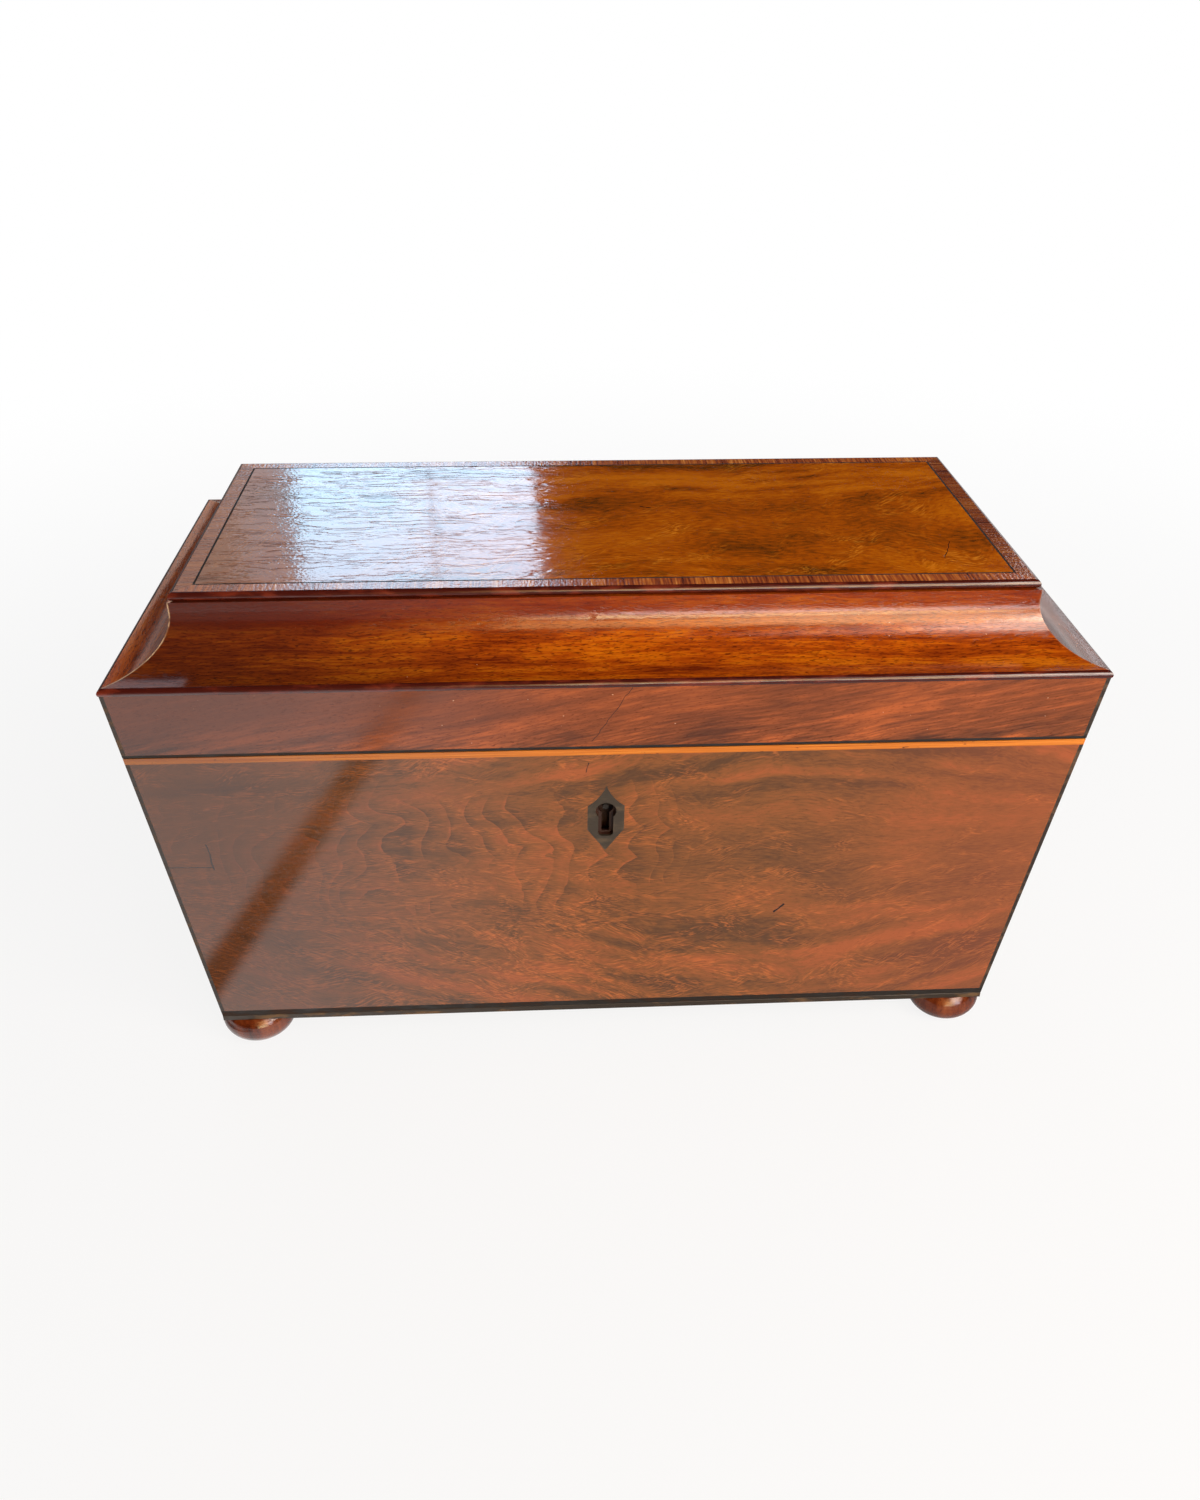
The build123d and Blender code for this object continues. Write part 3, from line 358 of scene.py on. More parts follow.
def bend(tree, place, heart, spine, below, above):
    """The place bent so that level lines sweep about a heart, by one slope below the spine and one above."""
    axes = add(tree, "SeparateXYZ", (place,))
    aside = add(tree, "Math", (axes.outputs[0], heart), operation="SUBTRACT")
    square = add(tree, "Math", (aside, aside, heart_radius ** 2), operation="MULTIPLY_ADD")
    sweep = add(tree, "Math", (square, 0.5), operation="POWER")
    lean = add(tree, "MapRange", (axes.outputs[1], spine - 30.0, spine + 35.0, below, above))
    risen = add(tree, "Math", (sweep, lean, axes.outputs[1]), operation="MULTIPLY_ADD")
    return add(tree, "CombineXYZ", (axes.outputs[0], risen, axes.outputs[2]))


def scales(tree, place, wide, seed):
    """Upright overlapping scales: each darkens to one side and ends in a thin pale edge."""
    broad = centred(tree, grain(tree, place, 40.0, 30.0, seed, 1.0))
    fold = add(tree, "Math", (broad,), operation="ABSOLUTE")
    curled = drift(tree, drift(tree, place, 16.0, 3.5, seed + 1), 3.5, 0.9, seed + 2)
    axes = add(tree, "SeparateXYZ", (curled,))
    folded = add(tree, "Math", (fold, fold_reach, axes.outputs[0]), operation="MULTIPLY_ADD")
    count = add(tree, "Math", (folded, 1 / wide), operation="MULTIPLY")
    across = add(tree, "Math", (count,), operation="FRACT")
    faded = add(tree, "MapRange", (grain(tree, place, 5.0, 7.0, seed + 3), 0.38, 0.68, 0.0, 0.8))
    edge = add(tree, "MapRange", (across, 0.84, 0.97, 0.0, faded), **smooth)
    fill = add(tree, "MapRange", (across, 0.0, 0.7, -0.5, 0.2))
    return add(tree, "Math", (fill, edge), operation="ADD")


print("the fibres sweep about a heart", 2 * heart_radius, "mm wide")

# %% Figure of the flame
scale_width, spine_half = 9.5, 60.0


def flame_figure(tree, place, heart, spine, slopes, scale_depth, seed):
    """Brightness of crotch-cut veneer around 0, and the bent place that its fibres follow."""
    broad = drift(tree, bend(tree, place, heart, spine, *slopes), 52.0, 11.0, seed)
    curled = drift(tree, broad, 14.0, 2.4, seed + 1)
    along, across, _ = add(tree, "SeparateXYZ", (place,)).outputs
    off_spine = centred(tree, add(tree, "MapRange", (across, spine - spine_half, spine + spine_half)))
    spine_side = add(tree, "Math", (off_spine,), operation="ABSOLUTE")
    on_spine = add(tree, "MapRange", (spine_side, 0.34, 0.14), **smooth)
    patch = add(tree, "MapRange", (grain(tree, broad, 40.0, 26.0, seed + 5, 1.0), 0.38, 0.5))
    left_of_heart = add(tree, "MapRange", (along, heart - 15.0, heart - 50.0))
    scale_weight = on_spine
    for share in (patch, left_of_heart, scale_depth):
        scale_weight = add(tree, "Math", (scale_weight, share), operation="MULTIPLY")
    band_weight = add(tree, "MapRange", (on_spine, 0.0, 1.0, 1.25, 0.3))
    # bands, clouds and fibres by their length and width in millimetres, then the scales, each with its weight
    layers = ((centred(tree, grain(tree, curled, 80.0, 8.0, seed, 4.0)), band_weight),
              (centred(tree, grain(tree, broad, 44.0, 24.0, seed + 2, 5.0)), 0.65),
              (centred(tree, grain(tree, curled, 3.6, 0.7, seed + 3, 2.0)), 0.48),
              (scales(tree, place, scale_width, seed + 6), scale_weight))
    total = 0.0
    for pattern, weight in layers:
        total = add(tree, "Math", (pattern, weight, total), operation="MULTIPLY_ADD")
    strength = add(tree, "MapRange", (along, heart - 200.0, heart - 130.0, 0.35, 1.0))
    return add(tree, "Math", (total, strength), operation="MULTIPLY"), curled


print("scales are", scale_width, "mm wide")

# %% Threads
thread_angles = (26.0, -14.0)


def threads(tree, curled, heart, spine, angle, seed):
    """Patches of fibres at an angle to the grain, most below the spine: 1 on a bright one, -1 on a dark."""
    turned = add(tree, "Mapping", (curled, None, (0.0, 0.0, math.radians(-angle))))
    fibres = grain(tree, turned, 5.0, 0.5, seed, 2.0)
    patch = grain(tree, turned, 20.0, 8.0, seed + 1, 3.0)
    along, across, _ = add(tree, "SeparateXYZ", (curled,)).outputs
    past_heart = add(tree, "MapRange", (along, heart - 60.0, heart, 0.0, 0.07))
    above_spine = add(tree, "MapRange", (across, spine - 40.0, spine, -0.09, 0.0))
    for fewer in (past_heart, above_spine):
        patch = add(tree, "Math", (patch, fewer), operation="SUBTRACT")
    bright = add(tree, "MapRange", (fibres, 0.34, 0.66, -1.0, 1.0))
    kept = add(tree, "MapRange", (patch, 0.5, 0.64))
    return add(tree, "Math", (bright, kept), operation="MULTIPLY")


print("threads lie at", *thread_angles, "degrees to the grain")

# %% [markdown]
# ## Pores, shade and cracks
# What all the mahogany shares comes next. Its vessels are cut open and hold dirt, a painted shade darkens
# it towards one end of the box, and a few short cracks run through the veneer. A painted picture would blur
# up close, so each is worked out from the place: a crack is the distance from a line between two points,
# pushed about to wander.

# %% Pores, shade and cracks
crack_brown = "#20100A"


def pores(tree, curled, long, wide, share, seed):
    """Short dark dashes where the wood's vessels are cut open, 1 in a pore: share sets how many there are."""
    dashes = grain(tree, curled, long, wide, seed, 1.0)
    return add(tree, "MapRange", (dashes, 0.3 + share, 0.2 + share))


def fill_pores(tree, open_pores, amount, colour, dirt):
    """A colour with its pores filled with dirt by an amount."""
    filled = add(tree, "Math", (open_pores, amount), operation="MULTIPLY")
    return add(tree, "Mix", (filled, colour, dirt), **rgba)


def shade(tree, place, axis, ends, share, colour, tint="#1A0C06"):
    """A colour that turns to a tint along an axis: ends are where that begins and where it is full."""
    along = add(tree, "SeparateXYZ", (place,)).outputs[axis]
    amount = add(tree, "MapRange", (along, *ends, 0.0, share), **smooth)
    return add(tree, "Mix", (amount, colour, tint), **rgba)


def crack(tree, place, start, end, width, seed):
    """A thin wandering line between two points of a face, 1 in the crack and 0 beside it."""
    flat = add(tree, "VectorMath", (drift(tree, place, 3.0, 0.7, seed), (1, 1, 0)), operation="MULTIPLY")
    run = Vector(end) - Vector(start)
    from_start = add(tree, "VectorMath", (flat, (*start, 0)), operation="SUBTRACT")
    gone = add(tree, "VectorMath", (from_start, (*run.normalized(), 0)), operation="DOT_PRODUCT")
    kept = add(tree, "MapRange", (gone.outputs["Value"], 0.0, run.length))
    nearest = add(tree, "VectorMath", {"Vector": (*run, 0), "Scale": kept}, operation="SCALE")
    aside = add(tree, "VectorMath", (from_start, nearest), operation="DISTANCE")
    return add(tree, "MapRange", (aside.outputs["Value"], width / 2, width / 4))


def draw_cracks(tree, place, colour, dent, cracks, seed):
    """The colour and the dent with cracks in: each is a start, an end and a width in millimetres."""
    for number, (start, end, width) in enumerate(cracks):
        split = crack(tree, place, start, end, width, seed + number)
        colour = add(tree, "Mix", (split, colour, crack_brown), **rgba)
        dent = add(tree, "Math", (dent, split), operation="MAXIMUM")
    return colour, dent


print("cracks are drawn in", crack_brown)

# %% [markdown]
# ## Veneer under shellac
# One recipe makes all the flame veneers from the parts above: browns by the figure's brightness, orange and
# dark threads, pores, shade and cracks. Over them goes the film of shellac. Its creases and pits are a bump
# that the colour doesn't know about, as on the real box, where they lie in the polish and not in the wood.

# %% Film of shellac
nearly_flat = 0.06


def shellac_film(tree, place, dent, ripple, pitted, seed):
    """Relief of the film over dents in the wood: creases and pits in millimetres, fewer towards the right."""
    along = add(tree, "SeparateXYZ", (place,)).outputs[0]
    wave = grain(tree, drift(tree, place, 9.0, 1.8, seed + 31), 32.0, 4.6, seed + 30, 3.0)
    crease = add(tree, "Math", (centred(tree, wave),), operation="ABSOLUTE")
    depth = add(tree, "MapRange", (along, 10.0, -20.0, nearly_flat, 1.0))
    sharp = add(tree, "MapRange", (crease, 0.0, 0.06, 0.0, depth), **smooth)
    film = add(tree, "Bump", {"Height": sharp, "Distance": ripple * mm})
    at_left = add(tree, "MapRange", (along, -60.0, -115.0, 0.15, 1.0))
    pits = add(tree, "Math", (grain(tree, place, 1.1, 0.9, seed + 34, 1.0), at_left), operation="MULTIPLY")
    skin = add(tree, "Bump", {"Height": pits, "Distance": pitted * mm, "Normal": film})
    return add(tree, "Bump", {"Height": dent, "Distance": 0.008 * mm, "Normal": skin}, invert=True)


print("at the right the creases keep", nearly_flat, "of their depth")

# %% Flame mahogany under shellac
left_shade_along, reddened_along = (-15.0, -135.0), (40.0, 150.0)


def flame_mahogany(name, axes, shades, figure, seed, gloss=0.14, ripple=0.004, pitted=0.0, deep=0.0,
                   tint="#2A100A", blush=0.0, cracks=()):
    """Flame veneer: shades are its dark, middle and light browns and the orange of its threads.

    The film's creases, ripple, and pits, pitted, are in millimetres. The left end turns to a tint by a share,
    deep, a painted shade for the weaker light there, and the right end to red by a share, blush.
    """
    material, tree, shader = start_finish(name, gloss, shellac_ior)
    place = place_on(tree, *axes)
    brightness, curled = flame_figure(tree, place, seed=seed, **figure)
    dark, middle, light, orange = shades
    brown = add(tree, "MapRange", (brightness, -0.22, 0.22))
    colour = add(tree, "ValToRGB", (brown,), ((0.0, dark), (0.5, middle), (1.0, light)))
    for angle, threads_seed in zip(thread_angles, (seed + 11, seed + 14)):
        lines = threads(tree, curled, figure["heart"], figure["spine"], angle, threads_seed)
        lit = add(tree, "MapRange", (lines, 0.0, 1.0, 0.0, 0.5))
        sunk = add(tree, "MapRange", (lines, 0.0, -1.0, 0.0, 0.35))
        colour = add(tree, "Mix", (lit, colour, orange), **rgba)
        colour = add(tree, "Mix", (sunk, colour, dark), **rgba)
    open_pores = pores(tree, curled, 1.6, 0.3, 0.06, seed + 17)
    colour = fill_pores(tree, open_pores, 0.45, colour, "#2A0E04")
    # deep and the tint paint shade on the left end, where less light falls
    colour = shade(tree, place, 0, left_shade_along, deep, colour, tint)
    colour = shade(tree, place, 0, reddened_along, blush, colour, "#8A3E24")
    colour, dent = draw_cracks(tree, place, colour, open_pores, cracks, seed + 20)
    relief = shellac_film(tree, place, dent, ripple, pitted, seed)
    smear = grain(tree, place, 30.0, 12.0, seed + 33, 3.0)
    wear = add(tree, "MapRange", (smear, 0.3, 0.7, 0.8 * gloss, 1.3 * gloss))
    dress_shader(tree, shader, colour, relief, wear)
    return material


# the darkening between these places is a painted shade
print("the polish dims between", *left_shade_along, "mm")

# %% Front, back and end veneers
front_browns = ("#4C331D", "#6E4521", "#8C4D27", "#B8682F")
front_cracks = (((-146.4, 88.9), (-131.0, 88.5), 0.5), ((-131.0, 87.6), (-131.6, 98.5), 0.6),
                ((58.0, 61.0), (61.0, 64.5), 1.0), ((-8.4, 125.0), (-7.6, 128.6), 0.3))
front_figure = {"heart": 56.0, "spine": 88.0, "slopes": (-0.34, 0.2), "scale_depth": 0.26}
back_figure = {"heart": -20.0, "spine": 80.0, "slopes": (-0.32, 0.24), "scale_depth": 0.24}
end_figure = {"heart": 8.0, "spine": 84.0, "slopes": (-0.5, 0.4), "scale_depth": 0.24}
# deep darkens the front's left end: a painted shade
front_flame = flame_mahogany("flame_mahogany_front", "XZY", front_browns, front_figure, seed=3.0, gloss=0.08,
                             deep=0.62, blush=0.3, cracks=front_cracks)
back_flame = flame_mahogany("flame_mahogany_back", "XZY", front_browns, back_figure, seed=43.0)
end_flame = flame_mahogany("flame_mahogany_ends", "YZX", front_browns, end_figure, seed=83.0)
print("flame veneers:", front_flame.name, back_flame.name, end_flame.name)

# %% [markdown]
# ## The top
# The top is the same veneer, but it faded to gold in the light and shows long drawn streaks. Its shellac
# has sunk into the wood over two centuries, so the film is creased by fine lines about 5 mm apart, and
# finely pitted at the left. They can't be seen in the colour, only where the window is mirrored, so they
# are a bump of a few hundredths of a millimetre. On the right, where no window shows, the film is nearly
# flat.

# %% Top veneer
top_browns = ("#5C2E04", "#A04C02", "#C06A08", "#E89426")
top_cracks = (((113.0, -26.0), (108.0, -38.0), 0.3), ((14.0, 8.5), (17.0, 7.0), 0.9))
top_figure = {"heart": 22.0, "spine": -14.0, "slopes": (0.2, -0.16), "scale_depth": 0.1}
# deep darkens the top's left end to a brown tint: a painted shade
top_flame = flame_mahogany("flame_mahogany_top", "XYZ", top_browns, top_figure, seed=123.0, gloss=0.07,
                           ripple=0.035, pitted=0.035, deep=0.8, tint="#40200F", cracks=top_cracks)
print("top veneer:", top_flame.name)

# %% [markdown]
# ## Straight-grained mahogany
# The hollow mouldings are cut along the board, so the grain is straight and the vessels show as short dark
# dashes about 2 mm long. The right one is given dark browns, a painted shade for the little light that
# reaches it, and the left one is dry and pale. At the left, the mitres between them are worn bare where the
# polish has rubbed off. The front moulding and the rim's front are darkened towards the left end, and the
# upper tint grows there on the long faces: both are painted shade. The lid's rim is veneered with the same
# wood, its grain rising by 11 degrees to the right. One recipe serves them all, because only the browns,
# the slope and the pores differ.

# %% Worn mitres
bead_size = nodes["lower_bead"].dimensions / mm
box_end = (bead_size.x - bead_size.y) / 2


def worn_mitre(tree, place, width, seed):
    """1 where the polish has rubbed off along the left mitres, in a broken line of a width in millimetres."""
    level = place_on(tree, "X", "Y", "Z")
    sides = add(tree, "SeparateXYZ", (add(tree, "VectorMath", (level,), operation="ABSOLUTE"),))
    off_mitre = add(tree, "Math", (sides.outputs["X"], sides.outputs["Y"]), operation="SUBTRACT")
    past_mitre = add(tree, "Math", (off_mitre, box_end), operation="SUBTRACT")
    aside = add(tree, "Math", (past_mitre,), operation="ABSOLUTE")
    rubbed = add(tree, "MapRange", (aside, width, 0.3 * width))
    at_left = add(tree, "MapRange", (add(tree, "SeparateXYZ", (level,)), 60.0, 0.0, 0.1, 0.9))
    broken = add(tree, "MapRange", (grain(tree, place, 4.0, 4.0, seed, 3.0), 0.4, 0.55, 0.2, at_left))
    return add(tree, "Math", (rubbed, broken), operation="MULTIPLY")


print("mitres run where x is", round(box_end, 1), "mm more than y")

# %% Straight mahogany
def straight_mahogany(name, axes, shades, seed, slope, pore_size, full_pores, gloss=0.13, deep=0.0, cracks=(),
                      worn=0.0):
    """Board or veneer with straight grain: shades are its dark, middle and light browns and its upper tint.

    pore_size is a length, a width and a share. Between the two heights of full_pores, the pores turn fainter
    and the upper tint comes in.
    """
    material, tree, shader = start_finish(name, gloss, shellac_ior)
    place = place_on(tree, *axes)
    turned = add(tree, "Mapping", (place, None, (0.0, 0.0, math.radians(-slope))))
    curled = drift(tree, turned, 40.0, 2.2, seed)
    total = 0.0
    # streaks, soft shade and fibres by their length and width in millimetres, each with its weight and seed
    for long, wide, weight, number in ((90.0, 3.2, 0.5, 1), (40.0, 12.0, 0.6, 3), (9.0, 0.8, 0.6, 2)):
        layer = centred(tree, grain(tree, curled, long, wide, seed + number, 3.0))
        total = add(tree, "Math", (layer, weight, total), operation="MULTIPLY_ADD")
    figure = add(tree, "MapRange", (total, -0.2, 0.2))
    dark, middle, light, upper = shades
    colour = add(tree, "ValToRGB", (figure,), ((0.0, dark), (0.5, middle), (1.0, light)))
    along, height, _ = add(tree, "SeparateXYZ", (place,)).outputs
    # the upper tint's share grows towards the left end of the long faces: that growth is a painted shade
    upper_share = add(tree, "MapRange", (along, 20.0, -100.0, 0.45, 0.85))
    colour = shade(tree, place, 1, full_pores, upper_share, colour, upper)
    open_pores = pores(tree, drift(tree, curled, 5.0, 0.6, seed + 4), *pore_size, seed + 5)
    amount = add(tree, "MapRange", (height, *full_pores, 0.75, 0.5))
    colour = fill_pores(tree, open_pores, amount, colour, "#421402")
    specks = add(tree, "MapRange", (grain(tree, place, 1.4, 1.1, seed + 6, 1.0), 0.79, 0.83, 0.0, 0.6))
    colour = add(tree, "Mix", (specks, colour, "#D8B08A"), **rgba)
    # deep darkens the left end to a brown tint: a painted shade
    colour = shade(tree, place, 0, (0.0, -135.0), deep, colour, "#28120E")
    colour, dent = draw_cracks(tree, place, colour, open_pores, cracks, seed + 20)
    if worn:
        bare = worn_mitre(tree, place, worn, seed + 8)
        colour = add(tree, "Mix", (bare, colour, "#B8A084"), **rgba)
    film = add(tree, "Bump", {"Height": grain(tree, place, 40.0, 5.0, seed + 9, 3.0), "Distance": 0.05 * mm})
    skin = add(tree, "Bump", {"Height": grain(tree, place, 1.2, 0.8, seed + 11, 2.0), "Distance": 0.01 * mm,
                              "Normal": film})
    relief = add(tree, "Bump", {"Height": dent, "Distance": 0.01 * mm, "Normal": skin}, invert=True)
    smear = grain(tree, place, 30.0, 10.0, seed + 10, 3.0)
    wear = add(tree, "MapRange", (smear, 0.3, 0.7, 0.75 * gloss, 1.35 * gloss))
    dress_shader(tree, shader, colour, relief, wear)
    return material


cove = {"slope": 0.5, "pore_size": (2.2, 0.3, 0.15), "full_pores": (166.0, 172.0)}
rim = {"slope": 11.0, "pore_size": (1.8, 0.26, 0.1), "full_pores": (130.0, 150.0)}
print("pores are", cove["pore_size"][0], "mm long in the mouldings and", rim["pore_size"][0], "mm in the rim")

# %% Hollow mouldings and rim veneers
cove_browns = ("#5E1E04", "#903E04", "#B26008", "#661E0A")
left_browns = ("#64260C", "#9C481A", "#B86426", "#7A3010")
shaded_right_browns = ("#32120A", "#562410", "#6E3414", "#481A0C")
cove_long = straight_mahogany("straight_mahogany_long", "XZY", cove_browns, seed=163.0, worn=0.5, **cove)
# deep darkens the front moulding's left end: a painted shade
cove_front = straight_mahogany("straight_mahogany_front", "XZY", cove_browns, seed=173.0, worn=0.5, deep=0.68,
                               **cove)
cove_left = straight_mahogany("straight_mahogany_short", "YZX", left_browns, seed=183.0, worn=0.5, **cove)
# the right moulding's dark browns are a painted shade
cove_right = straight_mahogany("straight_mahogany_right", "YZX", shaded_right_browns, seed=193.0, worn=0.4, gloss=0.2,
                               **cove)
rim_browns = ("#3A2012", "#743D1C", "#AC5A28", "#743A1A")
rim_cracks = (((-6.5, 137.0), (5.4, 157.0), 0.25),)
# deep darkens the rim front's left end: a painted shade
rim_front = straight_mahogany("rim_mahogany_front", "XZY", rim_browns, seed=203.0, deep=0.62,
                              cracks=rim_cracks, **rim)
rim_long = straight_mahogany("rim_mahogany_long", "XZY", rim_browns, seed=213.0, **rim)
rim_short = straight_mahogany("rim_mahogany_short", "YZX", rim_browns, seed=223.0, **rim)
print("straight veneers:", cove_front.name, cove_left.name, cove_right.name, rim_front.name)

# %% [markdown]
# ## Crossbanding
# A narrow band of rosewood-dark mahogany frames the top, laid with its grain across the band, in short
# pieces that differ a little in colour. The stripes follow Y on the long sides and X on the ends, where the
# band is darker, so the place is chosen on each side of the mitre line, with one switch for all four
# strips.

# %% Crossbanding
stripe_width = 0.7


def crossbanding():
    """Short dark and light stripes across the band, in blocks of slightly different colour."""
    material, tree, shader = start_finish("crossbanded_mahogany", 0.18, shellac_ior)
    lengthwise = place_on(tree, "Y", "X", "Z")
    endwise = place_on(tree, "X", "Y", "Z")
    sides = add(tree, "SeparateXYZ", (add(tree, "VectorMath", (lengthwise,), operation="ABSOLUTE"),))
    past_mitre = add(tree, "Math", (sides.outputs[1], sides.outputs[0]), operation="SUBTRACT")
    on_end = add(tree, "Math", (past_mitre, box_end), operation="GREATER_THAN")
    place = add(tree, "Mix", (on_end, lengthwise, endwise), data_type="VECTOR")
    stripes = grain(tree, place, 14.0, stripe_width, 243.0, 2.0)
    blocks = grain(tree, place, 40.0, 9.0, 244.0, 1.0)
    striped = add(tree, "Math", (stripes, 0.8), operation="MULTIPLY")
    total = add(tree, "Math", (blocks, 0.5, striped), operation="MULTIPLY_ADD")
    figure = add(tree, "MapRange", (total, 0.4, 0.9))
    shades = ((0.0, "#501E12"), (0.4, "#8C421E"), (0.7, "#B46628"), (1.0, "#D8944C"))
    colour = add(tree, "ValToRGB", (figure,), shades)
    # painted shade: darker towards the left end of the box
    colour = shade(tree, lengthwise, 1, (0.0, -150.0), 0.3, colour)
    end_share = add(tree, "Math", (on_end, 0.4), operation="MULTIPLY")
    colour = add(tree, "Mix", (end_share, colour, "#32100A"), **rgba)
    pits = add(tree, "Bump", {"Height": grain(tree, place, 1.0, 1.0, 245.0, 1.0), "Distance": 0.08 * mm})
    relief = add(tree, "Bump", {"Height": stripes, "Distance": 0.04 * mm, "Normal": pits})
    dress_shader(tree, shader, colour, relief)
    return material


crossband = crossbanding()
print("crossbanding stripes are about", stripe_width, "mm wide")

# %% [markdown]
# ## Ebonised wood
# The beads, the corner strings, the escutcheon and the base are a close-grained wood stained black to pass
# for ebony. Under old polish it reads as a very dark brown. The beads stand out and are rubbed, so brown
# shows through on them, and their roundness gives a thin line of light. The strings lie flush and stay
# duller.

# %% Ebonised wood
def ebonised_wood(name, black, brown, rubbed, gloss, seed):
    """Stained wood that shows brown where it's rubbed: rubbed is the share of the surface."""
    material, tree, shader = start_finish(name, gloss, shellac_ior)
    place = place_on(tree, "X", "Z", "Y")
    pattern = grain(tree, place, 9.0, 3.0, seed, 4.0)
    worn = add(tree, "MapRange", (pattern, 0.75 - 0.5 * rubbed, 0.8 - 0.3 * rubbed))
    colour = add(tree, "Mix", (worn, black, brown), **rgba)
    fibres = grain(tree, place, 14.0, 0.5, seed + 1, 2.0)
    relief = add(tree, "Bump", {"Height": fibres, "Distance": 0.06 * mm})
    dull = add(tree, "MapRange", (pattern, 0.3, 0.7, gloss, 1.8 * gloss))
    dress_shader(tree, shader, colour, relief, dull)
    return material


ebony_string = ebonised_wood("ebonised_string", "#0E0604", "#26140A", rubbed=0.5, gloss=0.6, seed=263.0)
corner_string = ebonised_wood("ebonised_corner", "#20160E", "#443222", rubbed=0.5, gloss=0.4, seed=268.0)
ebony_shield = ebonised_wood("ebonised_escutcheon", "#2E261C", "#44382A", rubbed=0.5, gloss=0.35, seed=293.0)
ebony_bead = ebonised_wood("ebonised_bead", "#3A100A", "#5E2010", rubbed=0.5, gloss=0.14, seed=273.0)
ebony_plate = ebonised_wood("ebonised_base", "#241A10", "#5A4228", rubbed=0.4, gloss=0.4, seed=283.0)
print("ebonised finishes:", ebony_string.name, corner_string.name, ebony_shield.name, ebony_bead.name)

# %% [markdown]
# ## Boxwood line
# Along the top edge of the case runs a line of boxwood, a dense yellow wood that has turned orange under
# the shellac. Its grain is too fine to see, so it is drawn a little coarser than it is.

# %% Boxwood
def boxwood_line():
    """Yellow wood with faint streaks and small dark nicks, painted darker as shade at the box's left end."""
    material, tree, shader = start_finish("boxwood_line", 0.22, shellac_ior)
    place = place_on(tree, "X", "Z", "Y")
    streaks = grain(tree, place, 30.0, 0.45, 293.0, 2.0)
    colour = add(tree, "ValToRGB", (streaks,), ((0.3, "#A05614"), (0.5, "#B66A1C"), (0.7, "#C87E2A")))
    nicks = add(tree, "MapRange", (grain(tree, place, 2.4, 0.8, 294.0, 1.0), 0.72, 0.78, 0.0, 0.9))
    colour = add(tree, "Mix", (nicks, colour, "#3A1A0A"), **rgba)
    # painted shade: darker towards the left end of the box
    colour = shade(tree, place, 0, (0.0, -150.0), 0.55, colour)
    relief = add(tree, "Bump", {"Height": streaks, "Distance": 0.04 * mm})
    dress_shader(tree, shader, colour, relief)
    return material


boxwood = boxwood_line()
print("boxwood line:", boxwood.name)

# %% [markdown]
# ## Turned feet
# The feet are solid mahogany turned on a lathe. The grain runs up through them, the tool leaves faint
# rings, and the polish is thick, so small bright highlights sit on a dark red-brown.

# %% Turned mahogany
def turned_mahogany():
    """Upright grain, dark pores, faint tool rings 1.2 mm apart and slow lumps in the polish."""
    material, tree, shader = start_finish("turned_mahogany", 0.2, shellac_ior)
    place = place_on(tree, "Z", "X", "Y")
    curled = drift(tree, place, 14.0, 1.5, 301.0)
    bands = grain(tree, curled, 22.0, 3.5, 302.0, 3.0)
    figure = add(tree, "MapRange", (bands, 0.2, 0.8))
    colour = add(tree, "ValToRGB", (figure,), ((0.1, "#361104"), (0.5, "#5C260B"), (0.95, "#7A3E1C")))
    open_pores = pores(tree, curled, 2.4, 0.35, 0.08, 303.0)
    colour = fill_pores(tree, open_pores, 0.6, colour, "#200A04")
    rings = grain(tree, place, 1.2, 60.0, 304.0, 1.0)
    relief = add(tree, "Bump", {"Height": rings, "Distance": 0.1 * mm})
    lumps = add(tree, "Bump", {"Height": grain(tree, place, 5.0, 5.0, 305.0, 2.0), "Distance": 0.2 * mm,
                               "Normal": relief})
    dress_shader(tree, shader, colour, lumps)
    return material


turned = turned_mahogany()
print("turned feet:", turned.name)

# %% [markdown]
# ## Plain mahogany inside
# The boards of the case are plain mahogany, planed and oiled, paler and duller than the outside, with the
# same pores. The canisters and their covers are the same wood with a polish. One recipe serves both, with
# its own browns and gloss. Around the keyhole, the front board is painted dark: a painted shade in the
# hole.

# %% Plain mahogany
def around_walls(tree):
    """Place with the grain level around four walls: along Y on those that face X, along X on the others."""
    facing = add(tree, "SeparateXYZ", (add(tree, "TexCoord").outputs["Normal"],)).outputs["X"]
    sideways = add(tree, "Math", (facing,), operation="ABSOLUTE")
    faces_x = add(tree, "Math", (sideways, 0.5), operation="GREATER_THAN")
    return add(tree, "Mix", (faces_x, place_on(tree, "X", "Z", "Y"), place_on(tree, "Y", "Z", "X")),
               data_type="VECTOR")


hole_shade_edge = 14.0


